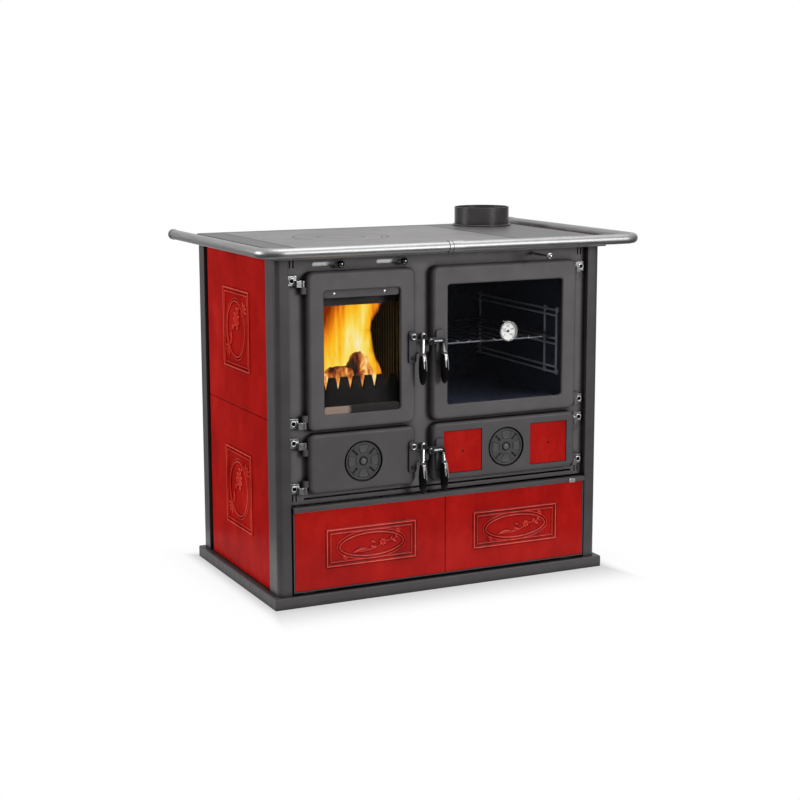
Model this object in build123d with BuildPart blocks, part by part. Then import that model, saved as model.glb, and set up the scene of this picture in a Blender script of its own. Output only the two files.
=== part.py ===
from build123d import *
from math import cos, radians, sin
import os

os.makedirs("parts", exist_ok=True)

# Wood cookstove, in millimetres: the floor is z = 0, the front faces -Y and +X is to the right.
# The origin is under the middle of the overall box, which the towel rail sets.

# Overall sizes
overall_width = 1025.0
overall_depth = 680.0
hob_top = 862.0

# Gaps between pieces
clearance = 0.3
pin_clearance = 0.05
seat_gap = 0.2

# Towel rail
rail_reach = 70.5
rail_d = 25.0
rail_wall = 2.0
rail_bend_r = 45.0
rail_drop = 2.0
rail_joint_x = -20.0
rail_sleeve_length = 38.0
rail_sleeve_wall = 1.8
rail_sleeve_groove = 1.2
rail_sleeve_groove_x = 11.0
rail_sleeve_groove_width = 2.0
rail_cap_d = 27.0
rail_cap_length = 16.0
rail_cap_groove = 1.6
rail_cap_groove_y = 4.8
rail_cap_bevel = 5.5
rail_foot_length = 34.0
rail_foot_height = 13.0
rail_foot_t = 4.0
rail_stub_d = 10.0
rail_bracket_drop = 10.5
rail_bracket_front_inset = 112.0
rail_bracket_rear_inset = 105.0

# Plinth and carcase
plinth_side_lip = 13.0
plinth_rear_setback = 22.5
plinth_height = 28.0
plinth_wall = 10.0
plinth_top_t = 6.0
plinth_edge_r = 3.0
plinth_setback = 97.5
post_setback = 11.0
post_width = 34.0
post_depth = 59.5
post_corner_r = 14.0
post_wall = 3.0
rear_post_width = 30.0
rear_post_depth = 37.0
rear_post_setback = 18.5
rear_panel_t = 3.0
rear_panel_inset = 2.0
rear_vent_length = 60.0
rear_vent_width = 6.0
rear_vent_pitch = 36.0
rear_vent_count = 15
rear_vent_margin = 70.0
side_panel_t = 3.0
side_tile_t = 8.0
side_tile_inset = 4.0
side_tile_seam_z = 449.0
side_tile_gap = 1.5
side_tile_rear_gap = 14.0
facade_recess = 18.5
facade_t = 8.0
facade_bottom = 247.0
floor_t = 4.0

# Tile relief
relief_height = 2.2
relief_rib = 5.0
side_relief_width = 180.0
side_relief_height = 200.0
drawer_relief_width = 240.0
drawer_relief_height = 94.0
relief_oval_margin = 12.0
relief_oval_rib = 3.5

# Doors
door_proud = 6.5
seal_t = 2.5
seal_width = 8.0
seal_inset = 2.0
door_corner_r = 18.0
door_edge_r = 9.0
door_wall = 8.0
door_side_gap_left = 46.0
door_side_gap_right = 36.0
door_strip_x = -57.0
door_strip_width = 46.0
door_top_gap = 32.0
door_bottom_gap = 27.0
door_row_gap = 8.0
lower_door_height = 145.0
mouth_margin = 27.0
mouth_sill = 10.0
mouth_corner_r = 10.0
least_corner_r = 1.0
window_stile = 41.0
window_top_rail = 46.0
window_bottom_rail = 36.0
window_corner_r = 8.0
window_bevel = 2.5
glass_t = 5.0
glass_recess = 10.0
glass_lap = 8.0
glass_gap = 0.5
glass_strip_height = 18.0
glass_strip_t = 4.0

# Hinges
hinge_reach = 7.0
hinge_pin_setback = 13.0
hinge_pin_r = 4.0
hinge_eye_r = 6.2
hinge_pin_depth = 12.0
hinge_lug_height = 16.0
hinge_lug_root = 2.0
hinge_lug_inset_upper = 36.0
hinge_lug_inset_lower = 22.0
hinge_lug_inset_small_door = 17.0
hinge_eye_height = 16.0
hinge_arm_front = 4.5
hinge_arm_length = 10.0
hinge_plate_size = 24.0
hinge_plate_t = 4.0
hinge_plate_corner_r = 2.0
hinge_plate_offset = 15.5
hinge_plate_rise_lower = 5.0
hinge_plate_rise_upper = 7.0
hinge_bolt_offset = 2.0
hinge_bolt_d = 11.0
hinge_bolt_height = 4.0

# Handles
handle_upper_rise = 212.0
handle_lower_rise = 95.0
handle_plate_width = 20.0
handle_plate_height = 76.0
handle_plate_above = 12.0
handle_plate_t = 5.0
handle_plate_corner_r = 5.0
handle_plate_inset = 11.0
handle_plate_inset_right = 17.0
handle_boss_d = 14.0
handle_boss_height = 8.0
handle_screw_d = 10.0
handle_screw_drop = 53.0
handle_screw_height = 2.5
handle_pivot_reach = 14.0
handle_pivot_reach_right = 12.0
handle_pivot_drop_right = 14.0
handle_ear_r = 8.0
handle_pin_r = 4.0
handle_hub_length = 11.0
handle_head_r = 6.0
handle_head_t = 3.0
handle_stand_off = 19.0
handle_grip_offset_left = -5.0
handle_grip_offset_right = 34.0
handle_arm_r = 4.6
handle_knee_r = 5.4
handle_grip_top_left = 45.0
handle_grip_top_right = 31.0
handle_ferrule_r = 8.0
handle_ferrule_height = 6.0
handle_neck_end = 3.0
handle_grip_length = 73.0
handle_grip_neck_r = 7.5
handle_grip_shoulder_r = 9.6
handle_grip_shoulder_z = 14.0
handle_grip_r = 10.5
handle_grip_belly_z = 32.0
handle_grip_tail_r = 9.0
handle_grip_tail_z = 56.0
handle_grip_tip_r = 6.2
handle_grip_tip_z = 68.0
handle_grip_end_r = 2.5

# Door catches
catch_width = 12.0
catch_height = 26.0
catch_depth = 12.0
catch_offset = 13.0
catch_drop = 34.0

# Air registers
register_drop = 3.0
register_r = 47.0
register_t = 6.0
register_recess = 7.0
register_gap = 3.5
register_rim = 3.5
register_rim_groove = 2.4
register_slot_length = 19.0
register_slot_width = 5.0
register_slot_radius = 33.0
register_petal_inner = 19.0
register_petal_outer = 37.5
register_petal_angle = 34.0
register_petal_depth = 2.4
register_boss_r = 8.0
register_boss_height = 5.0
register_boss_bevel = 2.5
register_boss_groove = 3.0
register_pin_r = 4.0
register_pin_length = 3.0
lower_tile_height = 104.0
lower_tile_t = 5.0
lower_tile_gap = 1.4
lower_tile_recess = 1.5
lower_tile_left_inset = 31.5
lower_tile_right_inset = 25.5
lower_tile_register_gap = 23.5
lower_tile_hole_d = 6.0
lower_register_shift = 3.0

# Oven thermometer
thermometer_x_shift = 9.0
thermometer_z_shift = 23.0
thermometer_r = 25.0
thermometer_t = 8.0
thermometer_bezel = 3.0
thermometer_dial_depth = 5.0
thermometer_stem_r = 4.5
thermometer_stem_length = 30.0
needle_hub_r = 3.5
needle_t = 1.2
needle_length = 17.0
needle_width = 2.2
needle_pin_r = 1.2

# Fire side
hearth_drop = 30.0
hearth_t = 12.0
hearth_side_lip = 20.0
hearth_rear_lip = 4.0
grate_side_gap = 20.0
grate_rear_gap = 34.0
grate_seat_gap = 1.0
grate_lap = 9.0
grate_t = 8.0
grate_bars = 11
grate_bar_width = 8.0
grate_front_gap = 60.0
lining_t = 22.0
lining_top_gap = 10.0
lining_rear_gap = 145.0
lining_front_gap = 14.0
lintel_height = 78.0
lining_rib_width = 6.0
lining_rib_height = 4.0
lining_rib_pitch = 14.0
fence_t = 8.0
fence_front_gap = 4.0
fence_side_gap = 2.0
fence_base = 85.0
fence_tooth = 37.0
fence_teeth = 7
fence_tooth_slope = 8.0
ash_pan_margin = 10.0
ash_pan_height = 58.0
ash_pan_rear_gap = 18.0
ash_pan_wall = 2.0
ash_pan_gap = 6.0
ash_pan_lip = 9.0
ash_pan_lip_width = 72.0

# Oven side
oven_wall = 3.0
oven_margin = 3.0
oven_rear_gap = 54.0
guide_wire_r = 2.6
guide_wire_offset = 3.9
guide_levels = 3
guide_pair_gap = 14.0
guide_front_gap = 16.0
guide_rear_gap = 7.0
guide_bottom_gap = 61.5
guide_top_gap = 109.0
guide_front_end = 5.0
guide_front_step = 64.0
guide_rear_end = 8.0
guide_tail = 4.0
guide_pad = 12.0
rack_level = 1
rack_wire_r = 2.6
rack_bars = 11
rack_wire_offset = 3.9
rack_side_gap = 1.0
rack_end_gap = 16.5

# Hob
hob_t = 24.0
hob_side_overhang = 2.0
hob_front_overhang = 30.5
hob_rear_setback = 2.5
hob_edge_r = 4.0
hob_corner_r = 8.0
hob_plate_t = 14.0
hob_plate_left_border = 64.0
hob_plate_right_border = 233.0
hob_plate_front_border = 36.0
hob_plate_rear_border = 23.0
hob_plate_ledge = 8.0
hob_plate_gap = 1.4
hob_ring_shift_x = -70.5
hob_ring_shift_y = 7.0
hob_ring_r = 120.0
hob_ring_t = 7.0
hob_ring_ledge = 9.0
hob_disc_r = 60.0
hob_disc_t = 3.6
hob_disc_ledge = 7.0
hob_notch_length = 22.0
hob_notch_width = 5.0
hob_notch_depth = 3.0
hob_notch_radius = 104.0
hob_notch_angle = -30.0

# Flue collar
collar_side_inset = 94.0
collar_rear_inset = 87.0
collar_bore_r = 70.3
collar_stop = 3.0
collar_wall = 4.0
collar_height = 51.0
collar_flange_r = 80.0
collar_flange_t = 5.0
collar_flange_bevel = 2.5

# Air sliders and smoke damper
slot_drop = 17.0
slot_length = 74.0
slot_height = 11.0
slot_left_inset = 60.0
slot_right_inset = 56.0
slider_travel = 54.0
slider_plate_height = 26.0
slider_plate_t = 3.0
slider_lap = 9.0
slider_guide = 5.0
slider_stem_r = 3.5
slider_knob_r = 9.0
slider_knob_reach = 18.0
knob_bands = 10
corner_slit_width = 3.0
corner_slit_height = 18.0
corner_slit_pitch = 9.0
corner_slit_inset = 16.0
corner_slit_drop = 14.0
corner_slit_rise = 17.0
vent_slot_rise = 12.5
vent_slot_height = 5.0
vent_slot_overhang = 5.0
smoke_rod_inset = 120.0
smoke_rod_drop = 14.0
smoke_rod_r = 3.0
smoke_rod_out = 92.0
smoke_rod_in = 60.0
smoke_knob_r = 8.0
smoke_plate_length = 80.0
smoke_plate_width = 120.0
smoke_plate_t = 4.0

# Wood drawer
drawer_side_gap = 4.0
drawer_floor_gap = 6.0
drawer_top_gap = 2.4
drawer_sheet = 3.0
drawer_tile_t = 8.5
drawer_border = 3.0
drawer_lip_height = 11.5
drawer_lip_front = 13.0
drawer_lip_bevel = 2.0
drawer_tile_seam_x = 3.0
drawer_tile_gap = 1.0
drawer_front_inset = 9.5
drawer_box_side_gap = 32.0
drawer_box_rear_gap = 76.0
drawer_box_top_gap = 34.3
drawer_box_wall = 2.0
drawer_latch_inset = 39.0
drawer_latch_width = 18.0
drawer_latch_height = 9.0
drawer_latch_t = 4.0
drawer_latch_corner_r = 2.0
runner_width = 34.0
runner_height = 12.0
runner_web_t = 5.0
runner_web_height = 46.0

# Derived places
rail_r = rail_d / 2
rail_x = overall_width / 2 - rail_cap_d / 2
rail_front_y = -overall_depth / 2 + rail_r + rail_sleeve_wall
rail_rear_y = overall_depth / 2 - rail_cap_length
rail_z = hob_top - rail_drop
body_half = overall_width / 2 - rail_reach
plinth_half = body_half + plinth_side_lip
plinth_front = -overall_depth / 2 + plinth_setback
plinth_rear = overall_depth / 2 - plinth_rear_setback
post_front = plinth_front + post_setback
post_rear = post_front + post_depth
post_inner = body_half - post_width
rear_post_rear = plinth_rear - rear_post_setback
rear_post_front = rear_post_rear - rear_post_depth
rear_post_inner = body_half - rear_post_width
rear_panel_back = rear_post_rear - rear_panel_inset
rear_panel_front = rear_panel_back - rear_panel_t
body_top = hob_top - hob_t
tile_face_x = body_half - side_tile_inset
tile_back_x = tile_face_x - side_tile_t
panel_inner_x = tile_back_x - side_panel_t
facade_front = post_front + facade_recess
facade_back = facade_front + facade_t
door_front = post_front - door_proud
door_back = facade_front - seal_t
door_t = door_back - door_front
left_door = (-post_inner + door_side_gap_left, door_strip_x - door_strip_width / 2)
right_door = (door_strip_x + door_strip_width / 2, post_inner - door_side_gap_right)
lower_door_bottom = facade_bottom + door_bottom_gap
lower_row = (lower_door_bottom, lower_door_bottom + lower_door_height)
upper_row = (lower_row[1] + door_row_gap, body_top - door_top_gap)
floor_top = lower_door_bottom + mouth_sill
glass_front = door_front + glass_recess
pin_y = door_front + hinge_pin_setback
hinge_plate_x = post_inner - hinge_plate_offset
hearth_top = upper_row[0] + mouth_margin - hearth_drop
hob_front = post_front - hob_front_overhang
hob_rear = plinth_rear - hob_rear_setback
hob_half = body_half + hob_side_overhang
collar_x = hob_half - collar_side_inset
collar_y = hob_rear - collar_rear_inset
register_z = (lower_row[0] + lower_row[1]) / 2 - register_drop
handle_upper_z = upper_row[0] + handle_upper_rise
handle_lower_z = lower_row[0] + handle_lower_rise
slot_z = body_top - slot_drop
slot_left_x = left_door[0] + slot_left_inset
slot_right_x = left_door[1] - slot_right_inset
vent_slot_z = facade_bottom + vent_slot_rise
smoke_rod_x = right_door[1] - smoke_rod_inset
smoke_rod_z = body_top - smoke_rod_drop


def front(y):
    """A drawing plane seen from the front: right is +X, up is +Z, and it extrudes towards -Y."""
    return Plane(origin=(0, y, 0), x_dir=(1, 0, 0), z_dir=(0, -1, 0))


def middle(span):
    return (span[0] + span[1]) / 2


def inset(span, low, high=None):
    """A (low, high) span drawn in at both ends."""
    return (span[0] + low, span[1] - (low if high is None else high))


def block(x, y, z, mode=Mode.ADD):
    """A box between (low, high) pairs."""
    with Locations((middle(x), middle(y), middle(z))):
        Box(x[1] - x[0], y[1] - y[0], z[1] - z[0], mode=mode)


def panel(x, z, back, depth, corner_r, mode=Mode.ADD):
    """A round-cornered plate drawn from the front, its back at the given y."""
    with BuildSketch(front(back)) as outline:
        with Locations((middle(x), middle(z))):
            RectangleRounded(x[1] - x[0], z[1] - z[0], corner_r)
    extrude(outline.sketch, amount=depth, mode=mode)


def ring_panel(x, z, back, depth, width, corner_r):
    """A round-cornered frame drawn from the front."""
    with BuildSketch(front(back)) as outline:
        with Locations((middle(x), middle(z))):
            RectangleRounded(x[1] - x[0], z[1] - z[0], corner_r)
            RectangleRounded(
                x[1] - x[0] - 2 * width,
                z[1] - z[0] - 2 * width,
                max(corner_r - width, least_corner_r),
                mode=Mode.SUBTRACT,
            )
    extrude(outline.sketch, amount=depth)


def rod(start, direction, length, radius, mode=Mode.ADD):
    """A round bar from a start point along a direction."""
    with BuildSketch(Plane(origin=start, z_dir=direction)) as section:
        Circle(radius)
    extrude(section.sketch, amount=length, mode=mode)


def ball(centre, radius):
    """A turned ball knob on a stem along Y, cut in conical bands."""
    steps = [radians(180 * band / knob_bands) for band in range(knob_bands + 1)]
    profile = [(radius * sin(step), -radius * cos(step)) for step in steps]
    with BuildSketch(Plane(origin=centre, x_dir=(1, 0, 0), z_dir=(0, 0, 1))) as section:
        Polygon(*profile, align=None)
    revolve(section.sketch, axis=Axis(centre, (0, 1, 0)))


def relief(plane, width, height):
    """A raised rectangular frame round a raised oval, the traditional tile border."""
    with BuildSketch(plane) as frame:
        Rectangle(width, height)
        Rectangle(width - 2 * relief_rib, height - 2 * relief_rib, mode=Mode.SUBTRACT)
    extrude(frame.sketch, amount=relief_height)
    oval_x = width / 2 - relief_rib - relief_oval_margin
    oval_y = height / 2 - relief_rib - relief_oval_margin
    with BuildSketch(plane) as oval:
        Ellipse(oval_x, oval_y)
        Ellipse(oval_x - relief_oval_rib, oval_y - relief_oval_rib, mode=Mode.SUBTRACT)
    extrude(oval.sketch, amount=relief_height)


# Plinth: a tray turned upside down
with BuildPart() as plinth:
    block(
        (-plinth_half, plinth_half), (plinth_front, plinth_rear), (0, plinth_height)
    )
    fillet(plinth.edges().filter_by(Axis.Z), plinth_edge_r)
    fillet(plinth.faces().sort_by(Axis.Z)[-1].edges(), plinth_edge_r)
    block(
        inset((-plinth_half, plinth_half), plinth_wall),
        inset((plinth_front, plinth_rear), plinth_wall),
        (0, plinth_height - plinth_top_t),
        mode=Mode.SUBTRACT,
    )

# Front posts: rolled box sections with a round outer corner
with BuildPart() as front_posts:
    with BuildSketch(Plane.XY.offset(plinth_height)) as post_section:
        with Locations((-(body_half + post_inner) / 2, (post_front + post_rear) / 2)):
            Rectangle(post_width, post_depth)
        outer_corner = post_section.vertices().sort_by(Axis.Y)[:2].sort_by(Axis.X)[0]
        fillet(outer_corner, post_corner_r)
        offset(amount=-post_wall, mode=Mode.SUBTRACT)
    extrude(amount=body_top - plinth_height)
    mirror(about=Plane.YZ)

# Rear posts
with BuildPart() as rear_posts:
    with BuildSketch(Plane.XY.offset(plinth_height)):
        with Locations(
            (-(body_half + rear_post_inner) / 2, (rear_post_front + rear_post_rear) / 2)
        ):
            Rectangle(rear_post_width, rear_post_depth)
        offset(amount=-post_wall, mode=Mode.SUBTRACT)
    extrude(amount=body_top - plinth_height)
    mirror(about=Plane.YZ)

# Rear panel: a steel sheet with two rows of air slots
with BuildPart() as rear_panel:
    block(
        (-rear_post_inner, rear_post_inner),
        (rear_panel_front, rear_panel_back),
        (plinth_height, body_top),
    )
    for row_z in (plinth_height + rear_vent_margin, body_top - rear_vent_margin):
        with BuildSketch(front(rear_panel_back)):
            with Locations((0, row_z)):
                with GridLocations(rear_vent_pitch, 1, rear_vent_count, 1):
                    Rectangle(rear_vent_width, rear_vent_length)
        extrude(amount=rear_panel_t, mode=Mode.SUBTRACT)

# Side panels behind the tiles
with BuildPart() as side_panels:
    block(
        (-tile_back_x, -panel_inner_x), (post_rear, rear_post_front), (plinth_height, body_top)
    )
    mirror(about=Plane.YZ)

# Side tiles: two glazed tiles a side, each with a relief frame
side_tile_y = (post_rear + side_tile_gap, rear_post_front - side_tile_rear_gap)
side_tile_rows = (
    (plinth_height + side_tile_gap, side_tile_seam_z - side_tile_gap / 2),
    (side_tile_seam_z + side_tile_gap / 2, body_top),
)
with BuildPart() as side_tiles:
    for row in side_tile_rows:
        block((-tile_face_x, -tile_back_x), side_tile_y, row)
        tile_centre = (-tile_face_x, middle(side_tile_y), middle(row))
        relief(
            Plane(origin=tile_centre, x_dir=(0, -1, 0), z_dir=(-1, 0, 0)),
            side_relief_width,
            side_relief_height,
        )
    mirror(about=Plane.YZ)

# Stove floor above the drawer
with BuildPart() as stove_floor:
    with BuildSketch(Plane.XY.offset(floor_top - floor_t)):
        with Locations((0, (post_rear + rear_post_front) / 2)):
            Rectangle(2 * panel_inner_x, rear_post_front - post_rear)
        with Locations((0, (facade_back + post_rear) / 2)):
            Rectangle(2 * post_inner, post_rear - facade_back)
        with Locations((0, (rear_post_front + rear_panel_front) / 2)):
            Rectangle(2 * rear_post_inner, rear_panel_front - rear_post_front)
    extrude(amount=floor_t)

# Facade: the cast front plate with four mouths, the control slots and the air slits
upper_mouth_z = inset(upper_row, mouth_margin)
lower_mouth_z = (floor_top, lower_row[1] - mouth_margin)
left_mouth_x = inset(left_door, mouth_margin)
right_mouth_x = inset(right_door, mouth_margin)
slider_half = slot_length / 2 + slider_lap
with BuildPart() as facade:
    block((-post_inner, post_inner), (facade_front, facade_back), (facade_bottom, body_top))
    for mouth_x in (left_mouth_x, right_mouth_x):
        for mouth_z in (upper_mouth_z, lower_mouth_z):
            panel(mouth_x, mouth_z, facade_back, facade_t, mouth_corner_r, mode=Mode.SUBTRACT)
    for slot_x in (slot_left_x, slot_right_x):
        with BuildSketch(front(facade_back)):
            with Locations((slot_x, slot_z)):
                SlotOverall(slot_length, slot_height)
        extrude(amount=facade_t, mode=Mode.SUBTRACT)
    for side in (-1, 1):
        slit_x = side * (post_inner - corner_slit_inset)
        for slit_z in (body_top - corner_slit_drop, facade_bottom + corner_slit_rise):
            with BuildSketch(front(facade_back)):
                with Locations((slit_x, slit_z)):
                    with GridLocations(corner_slit_pitch, 1, 2, 1):
                        Rectangle(corner_slit_width, corner_slit_height)
            extrude(amount=facade_t, mode=Mode.SUBTRACT)
    block(
        (left_door[0] - vent_slot_overhang, right_door[1] + vent_slot_overhang),
        (facade_front, facade_back),
        (vent_slot_z - vent_slot_height / 2, vent_slot_z + vent_slot_height / 2),
        mode=Mode.SUBTRACT,
    )
    rod(
        (smoke_rod_x, facade_back, smoke_rod_z),
        (0, -1, 0),
        facade_t,
        smoke_rod_r + clearance,
        mode=Mode.SUBTRACT,
    )
    guide_inner = slider_plate_height / 2 + clearance
    for guide_z in (slot_z - guide_inner - slider_guide, slot_z + guide_inner):
        block(
            (slot_left_x - slider_half - slider_travel, slot_right_x + slider_half),
            (facade_back, facade_back + slider_plate_t + 2 * clearance),
            (guide_z, min(guide_z + slider_guide, body_top)),
        )


def door_blank(x, z):
    """A cast door leaf with round corners."""
    panel(x, z, door_back, door_t, door_corner_r)


def lug_rows(z):
    """The low ends of a door's two hinge lugs."""
    low_inset = hinge_lug_inset_lower if z == upper_row else hinge_lug_inset_small_door
    return (z[0] + low_inset, z[1] - hinge_lug_inset_upper - hinge_lug_height)


def hinge_lugs(door_x, pin_x, z):
    """Two bored eyes on the hinge side of a door."""
    towards = 1 if pin_x < door_x else -1
    for low in lug_rows(z):
        web = sorted((pin_x, door_x + towards * hinge_lug_root))
        block(web, (pin_y - hinge_eye_r, pin_y + hinge_eye_r), (low, low + hinge_lug_height))
        rod((pin_x, pin_y, low), (0, 0, 1), hinge_lug_height, hinge_eye_r)
        rod(
            (pin_x, pin_y, low),
            (0, 0, 1),
            hinge_lug_height,
            hinge_pin_r + pin_clearance,
            mode=Mode.SUBTRACT,
        )


left_pin_x = left_door[0] - hinge_reach
right_pin_x = right_door[1] + hinge_reach
hinges = []
for pin_x, side in ((left_pin_x, -1), (right_pin_x, 1)):
    for row in (upper_row, lower_row):
        lower_lug, upper_lug = lug_rows(row)
        lower_eye = lower_lug - clearance - hinge_eye_height
        upper_eye = upper_lug + hinge_lug_height + clearance
        hinges.append((pin_x, side, lower_eye, 1, hinge_plate_rise_lower))
        hinges.append((pin_x, side, upper_eye, -1, hinge_plate_rise_upper))

# Hinge brackets: a plate on the facade, an arm, an eye and the pin that enters the door's lug
with BuildPart() as hinge_brackets:
    for pin_x, side, eye_low, pin_up, rise in hinges:
        plate_x = side * hinge_plate_x
        eye_z = (eye_low, eye_low + hinge_eye_height)
        plate_z = middle(eye_z) + rise
        half = hinge_plate_size / 2
        panel(
            (plate_x - half, plate_x + half),
            (plate_z - half, plate_z + half),
            facade_front,
            hinge_plate_t,
            hinge_plate_corner_r,
        )
        arm_root = plate_x - side * (half - hinge_arm_length / 2)
        block(
            sorted((pin_x, arm_root)),
            (pin_y - hinge_arm_front, facade_front - hinge_plate_t),
            eye_z,
        )
        rod((pin_x, pin_y, eye_low), (0, 0, 1), hinge_eye_height, hinge_eye_r)
        pin_start = eye_z[1] if pin_up > 0 else eye_z[0]
        rod((pin_x, pin_y, pin_start), (0, 0, pin_up), hinge_pin_depth, hinge_pin_r)

# Hinge bolts: hexagon heads on the bracket plates
with BuildPart() as hinge_bolts:
    with BuildSketch(front(facade_front - hinge_plate_t)):
        for pin_x, side, eye_low, pin_up, rise in hinges:
            bolt_x = side * (hinge_plate_x + hinge_bolt_offset)
            with Locations((bolt_x, eye_low + hinge_eye_height / 2 + rise)):
                RegularPolygon(hinge_bolt_d / 2, 6)
    extrude(amount=hinge_bolt_height)

# Door catches on the strip between the doors
with BuildPart() as door_catches:
    for handle_z in (handle_upper_z, handle_lower_z):
        for side in (-1, 1):
            catch_x = door_strip_x + side * catch_offset
            catch_z = handle_z - catch_drop
            block(
                (catch_x - catch_width / 2, catch_x + catch_width / 2),
                (facade_front - catch_depth, facade_front),
                (catch_z - catch_height / 2, catch_z + catch_height / 2),
            )
    chamfer(
        door_catches.edges().filter_by(Axis.X).group_by(Axis.Y)[0], catch_depth / 2
    )


def door_rim(x, z):
    """The cast sealing rib on the back of a door."""
    ring_panel(
        inset(x, seal_inset),
        inset(z, seal_inset),
        facade_front - clearance,
        seal_t - clearance,
        seal_width,
        door_corner_r - seal_inset,
    )


def soften(door):
    """Round the front edge of a door leaf."""
    fillet(door.faces().sort_by(Axis.Y)[0].edges(), door_edge_r)


def window(door, x, z):
    """Cut the window, bevel its front edge and sink the glass seat from the back."""
    panel(x, z, door_back, door_t, window_corner_r, mode=Mode.SUBTRACT)
    front_edges = door.faces().sort_by(Axis.Y)[0].inner_wires()[0].edges()
    chamfer(front_edges, window_bevel)
    seat_x = inset(x, -glass_lap - glass_gap)
    seat_z = inset(z, -glass_lap - glass_gap)
    seat_depth = door_back - glass_front
    panel(seat_x, seat_z, door_back, seat_depth, window_corner_r, mode=Mode.SUBTRACT)


firebox_window_x = inset(left_door, window_stile)
oven_window_x = inset(right_door, window_stile)
window_z = inset(upper_row, window_bottom_rail, window_top_rail)

# Firebox door
with BuildPart() as firebox_door:
    door_blank(left_door, upper_row)
    soften(firebox_door)
    window(firebox_door, firebox_window_x, window_z)
    hinge_lugs(left_door[0], left_pin_x, upper_row)

with BuildPart() as firebox_glass:
    panel(
        inset(firebox_window_x, -glass_lap),
        inset(window_z, -glass_lap),
        glass_front + glass_t,
        glass_t,
        window_corner_r,
    )

# Glass strips: the bars that hold the top and the bottom of the glass
strip_x = inset(firebox_window_x, clearance)
strip_z = inset(window_z, clearance)
with BuildPart() as firebox_glass_strip:
    for low in (strip_z[0], strip_z[1] - glass_strip_height):
        panel(
            strip_x, (low, low + glass_strip_height), glass_front, glass_strip_t, window_corner_r
        )

# Rope gasket on the back of the firebox door
with BuildPart() as firebox_door_gasket:
    door_rim(left_door, upper_row)

# Oven door
thermometer_x = middle(oven_window_x) + thermometer_x_shift
thermometer_z = middle(window_z) + thermometer_z_shift
with BuildPart() as oven_door:
    door_blank(right_door, upper_row)
    soften(oven_door)
    window(oven_door, oven_window_x, window_z)
    door_rim(right_door, upper_row)
    hinge_lugs(right_door[1], right_pin_x, upper_row)

with BuildPart() as oven_glass:
    panel(
        inset(oven_window_x, -glass_lap),
        inset(window_z, -glass_lap),
        glass_front + glass_t,
        glass_t,
        window_corner_r,
    )
    rod(
        (thermometer_x, glass_front + glass_t, thermometer_z),
        (0, -1, 0),
        glass_t,
        thermometer_stem_r + clearance,
        mode=Mode.SUBTRACT,
    )

# Oven thermometer: a cup with a bezel, its needle pivot and the probe through the glass
with BuildPart() as oven_thermometer:
    rod(
        (thermometer_x, glass_front, thermometer_z), (0, -1, 0), thermometer_t, thermometer_r
    )
    rod(
        (thermometer_x, glass_front - thermometer_t + thermometer_dial_depth, thermometer_z),
        (0, -1, 0),
        thermometer_dial_depth,
        thermometer_r - thermometer_bezel,
        mode=Mode.SUBTRACT,
    )
    rod(
        (thermometer_x, glass_front - thermometer_t + thermometer_dial_depth, thermometer_z),
        (0, -1, 0),
        needle_t + 2 * clearance,
        needle_pin_r,
    )
    rod(
        (thermometer_x, glass_front, thermometer_z),
        (0, 1, 0),
        thermometer_stem_length,
        thermometer_stem_r,
    )

needle_back = glass_front - thermometer_t + thermometer_dial_depth - clearance
with BuildPart() as thermometer_needle:
    with BuildSketch(front(needle_back)):
        with Locations((thermometer_x, thermometer_z)):
            Circle(needle_hub_r)
            Polygon(
                (0, needle_width / 2),
                (-needle_length, 0),
                (0, -needle_width / 2),
                align=None,
            )
            Circle(needle_pin_r + pin_clearance, mode=Mode.SUBTRACT)
    extrude(amount=needle_t)


def register_seat(centre_x):
    """The round recess, the air slots and the pivot stud of a register in a door."""
    floor_y = door_front + register_recess
    rod(
        (centre_x, floor_y, register_z),
        (0, -1, 0),
        register_recess,
        register_r + register_gap,
        mode=Mode.SUBTRACT,
    )
    with BuildSketch(front(door_back)) as slots:
        with Locations((centre_x, register_z)):
            with PolarLocations(register_slot_radius, 4, start_angle=0):
                SlotOverall(register_slot_length, register_slot_width)
    extrude(slots.sketch, amount=door_t, mode=Mode.SUBTRACT)
    rod((centre_x, floor_y, register_z), (0, -1, 0), register_pin_length, register_pin_r)


def hollow_back(x, z):
    """The pocket behind a plain door, so that the casting keeps one wall thickness."""
    panel(
        inset(x, seal_inset + seal_width),
        inset(z, seal_inset + seal_width),
        door_back,
        door_t - door_wall - register_recess,
        door_corner_r - seal_width,
        mode=Mode.SUBTRACT,
    )


def make_register(centre_x):
    """A turning disc with four slots, four sunk arches, a grooved rim and a boss."""
    back = door_front + register_recess - clearance
    with BuildPart() as disc:
        with BuildSketch(front(back)):
            with Locations((centre_x, register_z)):
                Circle(register_r)
                with PolarLocations(register_slot_radius, 4, start_angle=45):
                    SlotOverall(register_slot_length, register_slot_width, mode=Mode.SUBTRACT)
        extrude(amount=register_t)
        with BuildSketch(front(back - register_t + register_petal_depth)):
            with Locations((centre_x, register_z)):
                Circle(register_r - register_rim)
                Circle(register_r - register_rim - register_rim_groove, mode=Mode.SUBTRACT)
                Circle(register_boss_r + register_boss_groove)
                with PolarLocations(0, 4):
                    petal_r = (register_petal_inner + register_petal_outer) / 2
                    SlotArc(
                        CenterArc(
                            (0, 0), petal_r, -register_petal_angle / 2, register_petal_angle
                        ),
                        (register_petal_outer - register_petal_inner) / 2,
                    )
        extrude(amount=register_petal_depth, mode=Mode.SUBTRACT)
        rod(
            (centre_x, back, register_z),
            (0, -1, 0),
            register_t + register_boss_height,
            register_boss_r,
        )
        chamfer(disc.faces().sort_by(Axis.Y)[0].edges(), register_boss_bevel)
        rod(
            (centre_x, back, register_z),
            (0, -1, 0),
            register_pin_length + clearance,
            register_pin_r + pin_clearance,
            mode=Mode.SUBTRACT,
        )
    return disc


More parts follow.
